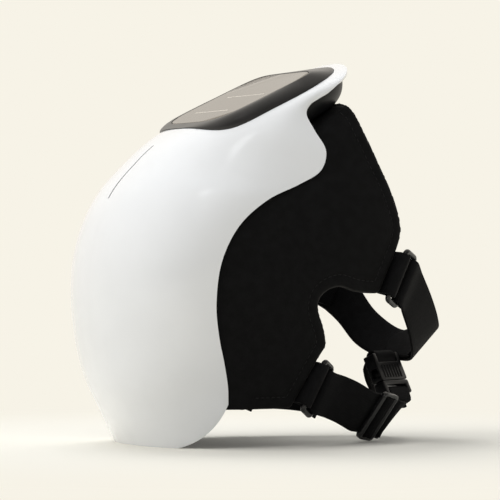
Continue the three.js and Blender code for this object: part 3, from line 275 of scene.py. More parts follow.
def finish(name, dark, light, roughness, spread=0.03, cloud=60, grain=900, relief=0.05, depth=0.0002,
           sockets=None):
    """Finish whose colour and sheen drift a little over the surface, with a fine moulded or woven grain."""
    made = bpy.data.materials.new(name)
    made.use_nodes = True
    tree = made.node_tree
    shader, spot = tree.nodes["Principled BSDF"], add_node(tree, "TexCoord")
    drift = add_node(tree, "TexNoise", Scale=cloud, Detail=3)
    tint = add_node(tree, "ValToRGB")
    tint.color_ramp.elements[0].position, tint.color_ramp.elements[1].position = 0.35, 0.65
    tint.color_ramp.elements[0].color, tint.color_ramp.elements[1].color = (*dark, 1), (*light, 1)
    sheen = add_node(tree, "MapRange", To_Min=roughness - spread, To_Max=roughness + spread)
    fine = add_node(tree, "TexNoise", Scale=grain, Detail=2)
    bump = add_node(tree, "Bump", Strength=relief, Distance=depth)
    wire(tree, (spot, "Object", drift, "Vector"), (drift, "Fac", tint, "Fac"),
         (tint, "Color", shader, "Base Color"), (drift, "Fac", sheen, "Value"),
         (sheen, "Result", shader, "Roughness"), (spot, "Object", fine, "Vector"),
         (fine, "Fac", bump, "Height"), (bump, "Normal", shader, "Normal"))
    for socket, value in (sockets or {}).items():
        shader.inputs[socket].default_value = value
    return made


def dress(piece, made, body="massager"):
    piece.data.materials.clear()
    piece.data.materials.append(made)
    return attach(piece, body)


gloss_white = finish("gloss_white", (0.765, 0.775, 0.788), (0.79, 0.80, 0.813), 0.16, 0.02, cloud=25,
                     grain=420, relief=0.02, depth=0.0001,
                     sockets={"Coat Weight": 0.6, "Coat Roughness": 0.15})
front_shell = curved_sheet("shell_moulding", shell_rows, shell_columns, shell_point)
shape(front_shell, "SOLIDIFY", thickness=shell_wall, offset=-1, use_even_offset=True)

pod_tilt, pod_place = math.radians(25.4), (-0.0085 - setback, 0, 0.2002)
pod_frame = Matrix.Translation(pod_place) @ Matrix.Rotation(-pod_tilt, 4, "Y")
pod_front, pod_rear, pod_half = 0.040, 0.064, 0.051
front_squareness, rear_squareness = 4.0, 2.5
pod_points, pod_play, hole_depth = 144, 0.0003, 0.0164


def oval(angle, front, rear, half):
    """Outline round the pod's middle, with front and rear halves of different length."""
    is_rear = math.cos(angle) > 0
    cosine, sine = rounded(angle, rear_squareness if is_rear else front_squareness)
    return Vector((cosine * (rear if is_rear else front), sine * half, 0))


def pod_outline(angle, inset):
    return oval(angle, pod_front - inset, pod_rear - inset, pod_half - inset)


def mark(point):
    """A point's coordinates, rounded so that the same point is found again."""
    return tuple(round(c, 7) for c in point)


def stacked(name, rings):
    """Closed piece drawn out level by level: a filled circle primitive, extruded once for each later ring."""
    deselect()
    bpy.ops.mesh.primitive_circle_add(vertices=len(rings[0]), radius=1, fill_type="NOTHING")
    piece = bpy.context.object
    piece.name = name
    edit_all()
    mesh = bmesh.from_edit_mesh(piece.data)
    for vertex, point in zip(mesh.verts, rings[0]):
        vertex.co = point
    bpy.ops.mesh.edge_face_add()
    for below, ring in zip(rings, rings[1:]):
        is_first = below is rings[0]
        if is_first:
            bpy.ops.mesh.extrude_region_move()
        else:
            bpy.ops.mesh.extrude_edges_move()
        mesh = bmesh.from_edit_mesh(piece.data)
        places = {mark(point): new for point, new in zip(below, ring)}
        for vertex in mesh.verts:
            if vertex.select:
                vertex.co = places[mark(vertex.co)]
        if is_first:
            bpy.ops.mesh.delete(type="ONLY_FACE")
            bpy.ops.mesh.select_all(action="DESELECT")
            mesh = bmesh.from_edit_mesh(piece.data)
            top = {mark(point) for point in ring}
            for vertex in mesh.verts:
                vertex.select = mark(vertex.co) in top
            mesh.select_flush(True)
    bpy.ops.mesh.edge_face_add()
    bpy.ops.mesh.select_all(action="SELECT")
    bpy.ops.mesh.normals_make_consistent(inside=False)
    bpy.ops.object.mode_set(mode="OBJECT")
    return piece


pod_turns = [2 * math.pi * k / pod_points for k in range(pod_points)]
hole_ring = [pod_outline(angle, -pod_play) for angle in pod_turns]
hole_levels = [Vector((0, 0, z)) for z in (-hole_depth, hole_depth)]
cut(front_shell, stacked("pod_hole", [[pod_frame @ (p + level) for p in hole_ring] for level in hole_levels]))


halvings, search_from = 30, 0.2


def shell_at_height(height):
    """Share along the shell where its front line reaches a height."""
    low, high = search_from, 1.0
    for _ in range(halvings):
        middle = (low + high) / 2
        low, high = (middle, high) if shell_point(middle, 0).z < height else (low, middle)
    return low


slot_foot, slot_head, slot_half, slot_depth = 0.148, 0.180, 0.0009, 0.03
slot_low, slot_high = shell_at_height(slot_foot), shell_at_height(slot_head)
slot_ends = [shell_point(slot_low, 0), shell_point(slot_high, 0)]
slot_run = slot_ends[1] - slot_ends[0]
deselect()
bpy.ops.mesh.primitive_cube_add(size=1)
slot_tool = bpy.context.object
slot_turn = slot_run.to_track_quat("X", "Z").to_matrix().to_4x4()
slot_size = Matrix.Diagonal((slot_run.length, 2 * slot_half, slot_depth, 1))
slot_tool.data.transform(Matrix.Translation(sum(slot_ends, Vector()) / 2) @ slot_turn @ slot_size)
cut(front_shell, slot_tool)
cut_level(0)
shape(front_shell, "BEVEL", width=0.0007, segments=3, limit_method="ANGLE", angle_limit=math.radians(62),
      harden_normals=False, use_clamp_overlap=True)
smooth(front_shell, 40)
dress(front_shell, gloss_white)
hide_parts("front_shell")

# Light bar: a smoked strip of clear plastic in the slot on the shell's middle line. It is pressed in from
# behind and ends just below the surface.
smoked = finish("smoked_strip", (0.012, 0.012, 0.013), (0.02, 0.02, 0.021), 0.2, 0.03,
                sockets={"Coat Weight": 0.4})
bar_end_share, bar_width_share, bar_sink = 0.002, 0.6, 0.0004


def bar_point(u, t):
    along = lerp(slot_low + bar_end_share, slot_high - bar_end_share, u)
    return shell_point(along, 0) + Vector((0, t * bar_width_share * slot_half, 0))


light_bar = curved_sheet("light_bar", 30, 2, bar_point)
shape(light_bar, "SOLIDIFY", thickness=0.0018, offset=-1)
edit_all()
bpy.ops.transform.shrink_fatten(value=-bar_sink)
bpy.ops.object.mode_set(mode="OBJECT")
smooth(light_bar)
dress(light_bar, smoked)
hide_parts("light_bar")

# Inner housing: a satin black bowl of ABS that closes the pod's underside and fills the lip from below. Its
# rim follows the inside of the shell's lip.
deck_middle, deck_low, deck_high, deck_side, deck_tries = 0.8, 0.45, 0.99, 0.98, 14


def deck_height(x, y):
    """Height of the shell's outer face above the pod's own plane, closed in on step by step."""
    into_pod = pod_frame.inverted()
    u, t, step = deck_middle, y / half_width, 0.002
    for _ in range(deck_tries):
        here = into_pod @ shell_point(u, t)
        along_u = (into_pod @ shell_point(u + step, t) - here) / step
        along_t = (into_pod @ shell_point(u, t + step) - here) / step
        area = along_u.x * along_t.y - along_t.x * along_u.y
        u += ((x - here.x) * along_t.y - (y - here.y) * along_t.x) / area
        t += ((y - here.y) * along_u.x - (x - here.x) * along_u.y) / area
        u, t = min(max(u, deck_low), deck_high), min(max(t, -deck_side), deck_side)
    return (into_pod @ shell_point(u, t)).z


housing_front, housing_rear, housing_half = 0.051, 0.068, 0.050
housing_wall, housing_floor, housing_taper = 0.002, 0.0164, 0.78
lip_room, bowl_levels = 0.0009, 14
housing_rim = []
for angle in pod_turns:
    edge = oval(angle, housing_front, housing_rear, housing_half)
    housing_rim.append(deck_height(edge.x, edge.y) - shell_wall - lip_room)


def bowl_ring(level, inset):
    angle = level / bowl_levels * math.pi / 2
    foot = -housing_floor - (0 if inset > 0 else housing_wall)
    ring = []
    for around, top in zip(pod_turns, housing_rim):
        rim = oval(around, housing_front - inset, housing_rear - inset, housing_half - inset)
        rim = rim * lerp(1, housing_taper, 1 - math.cos(angle))
        ring.append(pod_frame @ Vector((rim.x, rim.y, lerp(top, foot, math.sin(angle)))))
    return ring


satin_black = finish("satin_black", (0.010, 0.010, 0.0105), (0.014, 0.014, 0.0145), 0.44, 0.05, grain=1600,
                     relief=0.08, depth=0.0001, sockets={"Specular IOR Level": 0.25})
inner_housing = stacked("inner_housing_bowl", [bowl_ring(level, 0) for level in range(bowl_levels, -1, -1)]
                        + [bowl_ring(level, housing_wall) for level in range(bowl_levels + 1)])
smooth(inner_housing, 40)
dress(inner_housing, satin_black)
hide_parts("inner_housing")

# Control pod: a satin charcoal ring of ABS let into the shell's opening, with a round shoulder up to the flat
# rim round the touch panel. It is screwed to the chassis from inside.
pod_top, pod_ledge, panel_recess = 0.0086, 0.0006, 0.0017
panel_front, panel_rear, panel_half_width, panel_middle = 0.0345, 0.0388, 0.0415, 0.0025
panel_front_squareness, panel_rear_squareness = 4.2, 6
shoulder_levels, rim_width, rim_edge, skirt_width, skirt_gap = 12, 0.0012, 0.0003, 0.002, 0.0003
deck_round = []
for angle in pod_turns:
    edge = pod_outline(angle, 0)
    deck_round.append(deck_height(edge.x, edge.y))


def panel_outline(angle, outset):
    is_rear = math.cos(angle) > 0
    cosine, sine = rounded(angle, panel_rear_squareness if is_rear else panel_front_squareness)
    half_length = (panel_rear if is_rear else panel_front) + outset
    return Vector((panel_middle + cosine * half_length, sine * (panel_half_width + outset), 0))


def pod_ring(level):
    share = level / shoulder_levels
    turn = share * math.pi / 2
    ring = []
    for around, deck in zip(pod_turns, deck_round):
        slope = max(0, math.cos(around))
        inner = panel_outline(around, rim_width)
        flat = pod_outline(around, 0).lerp(inner, lerp(1 - math.cos(turn), share, slope))
        foot = min(deck + pod_ledge, pod_top)
        flat.z = lerp(foot, pod_top, lerp(math.sin(turn), share, slope))
        ring.append(pod_frame @ flat)
    return ring


def pod_level(outline, outset, height):
    ring = []
    for k, around in enumerate(pod_turns):
        flat = outline(around, outset)
        flat.z = height if isinstance(height, float) else height[k]
        ring.append(pod_frame @ flat)
    return ring


pod_charcoal = finish("pod_charcoal", (0.018, 0.0175, 0.017), (0.023, 0.022, 0.022), 0.30, 0.03, cloud=90,
                      grain=2200, relief=0.10, depth=0.0001, sockets={"Specular IOR Level": 0.42})
skirt = [deck - shell_wall - skirt_gap for deck in deck_round]
pod_rings = [pod_level(pod_outline, skirt_width, skirt), pod_level(pod_outline, 0, skirt)]
pod_rings += [pod_ring(level) for level in range(shoulder_levels + 1)]
pod_rings += [pod_level(panel_outline, outset, pod_top - depth) for outset, depth in (
    (2 * rim_edge, 0.0), (rim_edge, rim_edge), (rim_edge, panel_recess))]
control_pod = stacked("control_pod_ring", pod_rings)
smooth(control_pod, 40)
dress(control_pod, pod_charcoal)
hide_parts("control_pod")

# Touch panel: dark glass with a warm bloom, bonded into the pod's recess. Two pale hair lines are printed
# on it between its touch fields; nothing on it travels.
panel_glass = finish("panel_glass", (0.085, 0.067, 0.046), (0.094, 0.074, 0.051), 0.14, 0.02, cloud=70,
                     grain=1500, relief=0.02, depth=0.0001,
                     sockets={"Coat Weight": 0.08, "Coat Roughness": 0.1,
                              "Specular Tint": (1.0, 0.97, 0.90, 1)})
# Outset of each level and its depth below the pod's rim.
panel_levels = ((0.0, 0.0014), (0.0, 0.0005), (-0.0001, 0.0003), (-0.0004, 0.0001))
touch_panel = stacked("touch_panel_glass", [
    pod_level(panel_outline, outset, pod_top - depth) for outset, depth in panel_levels])
smooth(touch_panel, 30)
dress(touch_panel, panel_glass)
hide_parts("touch_panel")
printed = finish("printed_line", (0.62, 0.56, 0.48), (0.68, 0.62, 0.53), 0.3)
# Place of each line along the panel, and its two ends across it.
line_places = ((-0.0155, -0.0245, 0.0235), (0.0075, -0.0315, 0.022))
line_half_width, line_depth = 0.0004, 0.00008
for number, (line_x, low_y, high_y) in enumerate(line_places, 1):
    line = curved_sheet(f"panel_line_{number}", 40, 1, lambda u, t: pod_frame @ Vector((
        line_x + t * line_half_width, lerp(low_y, high_y, u), pod_top - line_depth)))
    smooth(line)
    dress(line, printed)

# Wrap: knit-faced neoprene foam, 4.6 mm thick, laid over the knee under the shell. Each half runs on past its
# fold line as a wing with two lobes, and is sewn once round, 7.5 mm inside its edge.
fold_foot, fold_head = Vector((-0.031, 0, 0.022)), Vector((0.040, 0, 0.205))
wrap_wall, wing_curl, wing_curl_length, wing_reach = 0.0046, 0.0120, 0.060, 0.107
# Columns: x and z of the middle line, share along the fold line, width and squareness.
wrap_sections = np.array([
    [-0.772, 0.0948, 0.000, 0.842, 3.0], [-0.819, 0.216, 0.155, 0.921, 3.0],
    [-0.846, 0.371, 0.355, 1.016, 3.0], [-0.828, 0.517, 0.541, 1.020, 3.0],
    [-0.744, 0.629, 0.685, 0.954, 3.0], [-0.586, 0.679, 0.790, 0.872, 3.0],
    [-0.372, 0.707, 0.870, 0.816, 3.0], [-0.130, 0.752, 0.925, 0.776, 3.2],
    [0.093, 0.802, 0.965, 0.737, 3.4], [0.436, 0.8930, 1.024, 0.708, 3.4],
])
wing_outline = np.array([
    [0.262, 0.901], [0.322, 0.896], [0.372, 0.882], [0.416, 0.858], [0.452, 0.815], [0.495, 0.770],
    [0.536, 0.726], [0.612, 0.645], [0.662, 0.565], [0.638, 0.513], [0.572, 0.4505], [0.516, 0.396],
    [0.465, 0.391], [0.335, 0.396], [0.215, 0.409], [0.112, 0.388], [0.097, 0.352], [0.145, 0.306],
    [0.175, 0.259], [0.138, 0.228], [0.002, 0.110], [-0.028, 0.0966], [-0.120, 0.0955], [-0.2884, 0.0948],
])
fold_column = 0.56


def wrap_point(u, t):
    """Place on the wrap's outer face: u from its lower edge up and over the knee, t from left to right."""
    front_x, front_z, along, width, squareness = row_at(wrap_sections, u)
    cosine, sine = rounded(t * math.pi / 2, squareness)
    fold = fold_foot.lerp(fold_head, along)
    return Vector((lerp(fold.x, front_x * front_reach, cosine) - setback, sine * width * half_width,
                   lerp(fold.z, front_z * full_height, cosine)))


def half_point(u, v):
    """Place on one half: v runs from the middle of the knee to the fold line and on along the wing."""
    v = (v + 1) / 2
    if v <= fold_column:
        return wrap_point(u, v / fold_column)
    back = (v - fold_column) / (1 - fold_column) * wing_reach
    fold = wrap_point(u, 1)
    return fold + Vector((back, -wing_curl * (back / wing_curl_length) ** 2, 0))


outline_steps = 180
outline_points = [at_shares(x, 0, z) for x, z in (
    row_at(wing_outline, k / outline_steps) for k in range(outline_steps + 1))]
half_wrap = curved_sheet("half_wrap", 90, 150, half_point)
shape(half_wrap, "SOLIDIFY", thickness=wrap_wall, offset=-1)
# The outline is cut first through the wing, then, below the lip, through all of the half.
tool_rear, tool_head, tool_foot, tool_front, tool_width = 0.16, 0.24, 0.012, -0.0393, 0.1
for from_y, head_z in ((0.044, tool_head), (-0.002, 0.188)):
    around = [(p.x, p.z) for p in outline_points if p.z < head_z]
    around += [(tool_front, tool_foot), (tool_rear, tool_foot), (tool_rear, tool_head),
               (around[0][0], tool_head)]
    foot = [Vector((x, from_y, z)) for x, z in around]
    trimming = stacked("wing_trimming", [foot, [p + Vector((0, tool_width, 0)) for p in foot]])
    cut(half_wrap, trimming, use_self=True)
# The corner beside the lip is cut aslant. Its line gives places across that direction, and heights.
slant_sine, slant_cosine, corner_inside, corner_reach = 0.4226, 0.9063, 0.02, 0.07
corner_line = ((0.0502, 0.2082), (0.0551, 0.2067), (0.0588, 0.2042), (0.0636, 0.1993), (0.0676, 0.192),
               (0.0694, 0.1882), (0.12, 0.1882), (0.12, tool_head), (0.0502, tool_head))
slant = Vector((-slant_sine, slant_cosine, 0))
foot = [Vector((across / slant_cosine - setback, 0, z)) + corner_inside * slant for across, z in corner_line]
cut(half_wrap, stacked("corner_trimming", [foot, [p + corner_reach * slant for p in foot]]), use_self=True)
wrap_play, room_outside, wrap_foot = 0.0008, 0.006, 0.0225
room_inside = shell_wall + wrap_play
room_wall = room_inside + room_outside
shell_room = curved_sheet("shell_room", 60, 80, shell_point)
shape(shell_room, "SOLIDIFY", thickness=room_wall, offset=1 - 2 * room_inside / room_wall)
cut(half_wrap, shell_room, use_self=True)
cut_level(wrap_foot)
shape(half_wrap, "REMESH", mode="VOXEL", voxel_size=0.00105)
shape(half_wrap, "SMOOTH", factor=0.5, iterations=20)
seam_inset, seam_dent, seam_width = 0.0075, 0.00045, 0.0011
swell_rise, swell_width, edge_drop, edge_soften, edge_worn = 0.00035, 0.0022, 0.0005, 0.0035, 0.0012
edge_line = np.array([(p.x, p.z) for p in outline_points])
count = len(half_wrap.data.vertices)
places, normals = np.empty(count * 3), np.empty(count * 3)
half_wrap.data.vertices.foreach_get("co", places)
half_wrap.data.vertices.foreach_get("normal", normals)
places, normals = places.reshape(-1, 3), normals.reshape(-1, 3)
from_edge = np.full(count, 1.0)
for start, end in zip(edge_line, edge_line[1:]):
    run = end - start
    share = np.clip(((places[:, [0, 2]] - start) @ run) / (run @ run), 0, 1)
    apart = np.linalg.norm(places[:, [0, 2]] - start - share[:, None] * run, axis=1)
    from_edge = np.minimum(from_edge, apart)
sunk = seam_dent * np.exp(-((from_edge - seam_inset) / seam_width) ** 2)
sunk += edge_drop * np.clip(1 - from_edge / edge_soften, 0, 1) ** 2
swell = swell_rise * np.exp(-((from_edge - seam_inset / 2) / swell_width) ** 2)
side_facing = 0.3
on_side = np.abs(normals[:, 1]) > side_facing
places += normals * (swell - sunk)[:, None] * on_side[:, None]
half_wrap.data.vertices.foreach_set("co", places.ravel())
edge_tint = half_wrap.data.attributes.new("edge_tint", "FLOAT", "POINT")
edge_tint.data.foreach_set("value", np.clip(1 - from_edge / edge_worn, 0, 1))
neoprene = finish("neoprene", (0.0035, 0.0035, 0.0037), (0.0055, 0.0055, 0.0058), 0.86, 0.05, cloud=180,
                  grain=2600, relief=0.5, depth=0.0002, sockets={"Specular IOR Level": 0.12})
tree = neoprene.node_tree
worn = add_node(tree, "Attribute")
worn.attribute_name = "edge_tint"
paler = add_node(tree, "Mix")
paler.data_type = "RGBA"
paler.inputs["B"].default_value = (0.035, 0.034, 0.033, 1)
wire(tree, (worn, "Fac", paler, "Factor"), (tree.nodes["Color Ramp"], "Color", paler, "A"),
     (paler, "Result", tree.nodes["Principled BSDF"], "Base Color"))


def own_copy(piece, name, mirror=False):
    """Copy with its own mesh, on the other side of the body's middle plane if mirrored."""
    pick(piece)
    bpy.ops.object.duplicate(linked=False)
    copy = bpy.context.object
    copy.name = name
    if mirror:
        copy.data.transform(Matrix.Diagonal((1, -1, 1, 1)))
        copy.data.flip_normals()
    return copy


def over_fold(piece, side):
    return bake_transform(piece)


smooth(half_wrap, 180)
wrap_halves = {"right": half_wrap, "left": own_copy(half_wrap, "left_wrap", mirror=True)}
half_wrap.name = "right_wrap"
for side, piece in wrap_halves.items():
    piece.data.materials.append(neoprene)
    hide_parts("wrap_body", f"{side}_wing")
    over_fold(piece, side)

# Stitches: black polyester thread, one row on each half of the wrap. Each stitch is drawn into the foam along
# the seam, 3.6 mm after the last one.
def thread_row(name, spots, length=0.0026, radius=0.00028):
    """One short thread for each (place, direction, outward) given."""
    deselect()
    bpy.ops.mesh.primitive_uv_sphere_add(segments=8, ring_count=6, radius=1)
    pattern = bpy.context.object
    corners = np.array([v.co for v in pattern.data.vertices])
    faces = [tuple(f.vertices) for f in pattern.data.polygons]
    bpy.data.objects.remove(pattern)
    points, surfaces = [], []
    for number, (place, along, out) in enumerate(spots):
        side = along.cross(out).normalized()
        turn = np.array([side * radius, out * radius, along * (length / 2)])
        points.append(corners @ turn + np.array(place))
        surfaces += [tuple(k + number * len(corners) for k in face) for face in faces]
    mesh = bpy.data.meshes.new(name)
    mesh.from_pydata(np.concatenate(points).tolist(), [], surfaces)
    piece = bpy.data.objects.new(name, mesh)
    bpy.context.collection.objects.link(piece)
    return smooth(piece, 180)


beside, thread_lift, stitch_pitch, seam_slack = 0.12, 0.00006, 0.0036, 0.0003


def square_to(direction, axis):
    return (direction - direction.dot(axis) * axis).normalized()


def on_surface(target, x, z, side):
    """Place and outward direction where a level line from the side meets a piece."""
    hit, place, normal, _ = target.ray_cast(Vector((x, side * beside, z)), Vector((0, -side, 0)))
    return (place, normal) if hit else None


thread = finish("thread", (0.008, 0.008, 0.0085), (0.012, 0.012, 0.0125), 0.7, 0.05,
                sockets={"Specular IOR Level": 0.2})
inset_line = []
for k in range(2, len(outline_points) - 2):
    run = outline_points[k + 2] - outline_points[k - 2]
    inset_line.append(outline_points[k] + seam_inset * Vector((run.z, 0, -run.x)).normalized())
kept_line = [p for p in inset_line if min((p - q).length for q in outline_points) > seam_inset - seam_slack]
seam_spots, walked = [], 0.0
for a, b in zip(kept_line, kept_line[1:]):
    step = (b - a).length
    while walked < step:
        seam_spots.append((a.lerp(b, walked / step), (b - a).normalized()))
        walked += stitch_pitch
    walked -= step
for side, sign in (("left", -1), ("right", 1)):
    spots = []
    for place, run in seam_spots:
        met = on_surface(wrap_halves[side], place.x, place.z, sign)
        if met:
            spot, out = met
            spots.append((spot + thread_lift * out, square_to(run, out), out))
    row = thread_row(f"{side}_stitches", spots)
    row.data.materials.append(thread)
    over_fold(row, side)

# Layers inside the wrap: three air bags of coated cloth that press on the knee, the printed heating film, and
# the quilted lining with its six sewn channels. They lie on one another and are sewn in with the wrap.
layer_gap, bag_skin, bag_rise, film_thick = 0.0004, 0.0008, 0.003, 0.0005
lining_thick, lining_channel, lining_channels, lining_fullness = 0.0018, 0.0009, 6, 0.6
film_depth = wrap_wall + bag_skin + bag_rise + 2 * layer_gap
lining_depth = film_depth + film_thick + layer_gap
wrap_rows, wrap_columns = 18, 14


def wrap_offset(u, t, distance):
    step = 0.004
    along = wrap_point(min(u + step, 1), t) - wrap_point(max(u - step, 0), t)
    across = wrap_point(u, min(t + step, 1)) - wrap_point(u, max(t - step, -1))
    return wrap_point(u, t) + along.cross(across).normalized() * distance


def curved_slab(name, along, across, outer, inner):
    """Grid primitive drawn out once, with its two faces laid on two surfaces."""
    piece = grid(name, along, across)
    edit_all()
    bpy.ops.mesh.extrude_region_move()
    mesh = bmesh.from_edit_mesh(piece.data)
    for vertex in mesh.verts:
        vertex.co = (inner if vertex.select else outer)((vertex.co.x + 1) / 2, (vertex.co.y + 1) / 2)
    bpy.ops.mesh.select_all(action="SELECT")
    bpy.ops.mesh.normals_make_consistent(inside=False)
    bpy.ops.object.mode_set(mode="OBJECT")
    return piece


def wrap_layer(name, rows, columns, outer, inner, counts=(40, 60)):
    """Layer over part of the wrap. Its depths are functions of the shares along and across the layer."""
    low_u, high_u = (row / wrap_rows for row in rows)
    low_t, high_t = (column / wrap_columns for column in columns)
    faces = [lambda u, t, depth=depth: wrap_offset(
        lerp(low_u, high_u, u), lerp(low_t, high_t, t), -depth(u, t)) for depth in (outer, inner)]
    return curved_slab(name, *counts, *faces)


rubber = finish("rubber", (0.018, 0.018, 0.018), (0.026, 0.026, 0.026), 0.7, 0.06, cloud=120)
film_amber = finish("film_amber", (0.36, 0.15, 0.03), (0.44, 0.20, 0.045), 0.35, 0.05, cloud=90)


def bag_inner(u, t):
    return wrap_wall + layer_gap + bag_skin + bag_rise * (max(16 * u * (1 - u) * t * (1 - t), 0)) ** 0.5


for name, columns in (("front_air_bag", (-5, 5)), ("right_air_bag", (6, 11)), ("left_air_bag", (-11, -6))):
    bag = wrap_layer(f"{name}_pouch", (4, 10), columns, lambda u, t: wrap_wall + layer_gap, bag_inner)
    smooth(bag, 50)
    dress(bag, rubber)
    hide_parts(name)
film = wrap_layer("heating_film_sheet", (2, 11), (-11, 11), lambda u, t: film_depth,
                  lambda u, t: film_depth + film_thick)
smooth(film, 50)
dress(film, film_amber)
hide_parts("heating_film")


def lining_inner(u, t):
    quilt = abs(math.sin(t * lining_channels * math.pi)) ** lining_fullness
    return lining_depth + lining_thick - lining_channel * (1 - quilt)


lining = wrap_layer("quilted_lining", (1, 13), (-12, 12), lambda u, t: lining_depth, lining_inner, (70, 180))
smooth(lining, 60)
dress(lining, neoprene)
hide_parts("inner_lining")

# Rings: four rectangular frames of black nylon, round in section. Each is moulded in one piece and tied to a
# wing by its tab.
web_width, web_thick = 0.028, 0.0018
ring_length, ring_width, ring_bar, ring_corner, ring_radius = 0.0354, 0.017, 0.0036, 0.0023, 0.00172
ring_tables = {
    "upper": (Vector((0.414, 0, 0.911)), Vector((0.728, 0.6, -0.33))),
    "lower": (Vector((0.467, 0, 0.884)), Vector((0.663, 0.66, -0.35))),
}
nylon = finish("nylon", (0.005, 0.005, 0.0055), (0.008, 0.008, 0.0085), 0.24, 0.05, cloud=200, grain=1800,
               relief=0.06, depth=0.0001)


def box_middle(node):
    low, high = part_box(node)
    return (Vector(low) + Vector(high)) / 2


def ring_frame(level):
    """Middle, direction along the bars, direction across them and direction to the wrap, for a left ring."""
    along, lead = (v.normalized() for v in ring_tables[level])
    across = square_to(lead, along)
    return box_middle(f"left_{level}_ring"), along, across, along.cross(across)


def rounded_frame(length, width, radius, steps=8):
    """Closed line of points round a rectangle with rounded corners."""
    line = []
    for corner, (x, y) in enumerate(((1, 1), (-1, 1), (-1, -1), (1, -1))):
        for step in range(steps + 1):
            angle = (corner + step / steps) * math.pi / 2
            line.append((x * (length / 2 - radius) + radius * math.cos(angle),
                         y * (width / 2 - radius) + radius * math.sin(angle)))
    return line


def rod(name, line, radius, closed=True, sides=5):
    """Round rod along a line: a curve with a round section, turned into a mesh."""
    curve = bpy.data.curves.new(name, "CURVE")
    curve.dimensions = "3D"
    spline = curve.splines.new("POLY")
    spline.points.add(len(line) - 1)
    for point, place in zip(spline.points, line):
        point.co = (*place, 1)
    spline.use_cyclic_u = closed
    curve.bevel_depth = radius
    curve.bevel_resolution = sides
    curve.use_fill_caps = not closed
    piece = bpy.data.objects.new(name, curve)
    bpy.context.collection.objects.link(piece)
    pick(piece)
    bpy.ops.object.convert(target="MESH")
    return smooth(bpy.context.object, 60)


for level in ring_tables:
    middle, along, across, _ = ring_frame(level)
    corners = rounded_frame(ring_length - ring_bar, ring_width - ring_bar, ring_corner)
    line = [middle + x * along + y * across for x, y in corners]
    ring = rod(f"left_{level}_frame", line, ring_radius)
    for side, piece in (("left", ring), ("right", own_copy(ring, f"right_{level}_frame", mirror=True))):
        dress(piece, nylon, f"{side}_{level}_ring_body")
        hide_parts(f"{side}_{level}_ring")

# Straps: soft black polyester webbing, 28 mm wide, with a fine rib across it and a sewn turn at each ring.
# The upper one crosses behind the knee, and its loose tail lies on it.
weave = finish("weave", (0.0032, 0.0032, 0.0036), (0.0052, 0.0052, 0.0057), 0.80, 0.05, cloud=260,
               sockets={"Specular IOR Level": 0.12})
tree = weave.node_tree
web_place = add_node(tree, "UVMap")
ribs = add_node(tree, "TexWave", Scale=300, Distortion=0.4)
ribs.bands_direction = "X"
cords = add_node(tree, "TexWave", Scale=220)
cords.bands_direction = "Y"
crossing = add_node(tree, "Math")
crossing.operation = "MULTIPLY"
web_bump = tree.nodes["Bump"]
web_bump.inputs["Strength"].default_value = 0.45
web_bump.inputs["Distance"].default_value = 0.0002
wire(tree, (web_place, "UV", ribs, "Vector"), (web_place, "UV", cords, "Vector"), (ribs, "Fac", crossing, 0),
     (cords, "Fac", crossing, 1), (crossing, "Value", web_bump, "Height"))

ring_turn, turn_gap, strap_tail = 0.0033, 0.0024, 0.013


def route(table, steps, widths=(1, 1)):
    """Stations of a table of shares: place, direction across the web, and share of the full width."""
    stations = []
    for k in range(steps + 1):
        x, y, z, *wide = row_at(np.array(table), k / steps)
        stations.append((at_shares(x, y, z), Vector(wide).normalized(), lerp(*widths, k / steps)))
    return stations


def bar_turn(bar, wide, leave, inward, radius, tail, share=1.0):
    """Turn of web round a bar: its sewn tail lies on the side of inward, and it leaves on the other side."""
    spots = [(tail * (1 - k / 6), turn_gap) for k in range(6)]
    spots += [(-radius * math.sin(a), radius * math.cos(a)) for a in (k * math.pi / 12 for k in range(13))]
    return [(bar + along * leave + out * inward, wide, share) for along, out in spots]


def other_side(place):
    return Vector((place.x, -place.y, place.z))


def mirrored(stations):
    return [(other_side(p), other_side(w), share) for p, w, share in stations]


def web(name, stations, width=web_width, thick=web_thick, ease=2, across=8, round_end=0):
    """Strip of webbing through its stations, with soft edges and its own length and width as UV."""
    table = [(np.array(p), np.array(w), s) for p, w, s in stations]
    for _ in range(ease):
        table = [table[0]] + [tuple((a + 2 * b + c) / 4 for a, b, c in zip(*trio))
                              for trio in zip(table, table[1:], table[2:])] + [table[-1]]
    walked = [0.0]
    for a, b in zip(table, table[1:]):
        walked.append(walked[-1] + float(np.linalg.norm(b[0] - a[0])))
    last = len(table) - 1

    def place(u, t):
        at, wide, share = table[round(u * last)]
        wide = Vector(wide).normalized()
        if round_end:
            from_end = (walked[-1] - walked[round(u * last)]) / round_end
            share *= math.sqrt(max(1 - max(1 - from_end, 0) ** 2, 0.01))
        return Vector(at) + wide * (t * share * width / 2)

    strip = curved_sheet(name, last, across, place)
    for loop in strip.data.uv_layers.active.data:
        loop.uv = (walked[round(loop.uv.x * last)], (loop.uv.y - 0.5) * width)
    shape(strip, "SOLIDIFY", thickness=thick, offset=0, use_even_offset=True)
    shape(strip, "BEVEL", width=0.0004, segments=2, limit_method="ANGLE", angle_limit=math.radians(60))
    return smooth(strip, 50)


def strap_start(level):
    middle, along, across, inward = ring_frame(level)
    bar = middle + across * (ring_width - ring_bar) / 2
    return bar_turn(bar, along, across, inward, ring_turn, strap_tail)


def tie(piece):
    piece.data.materials.append(weave)
    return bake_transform(piece)


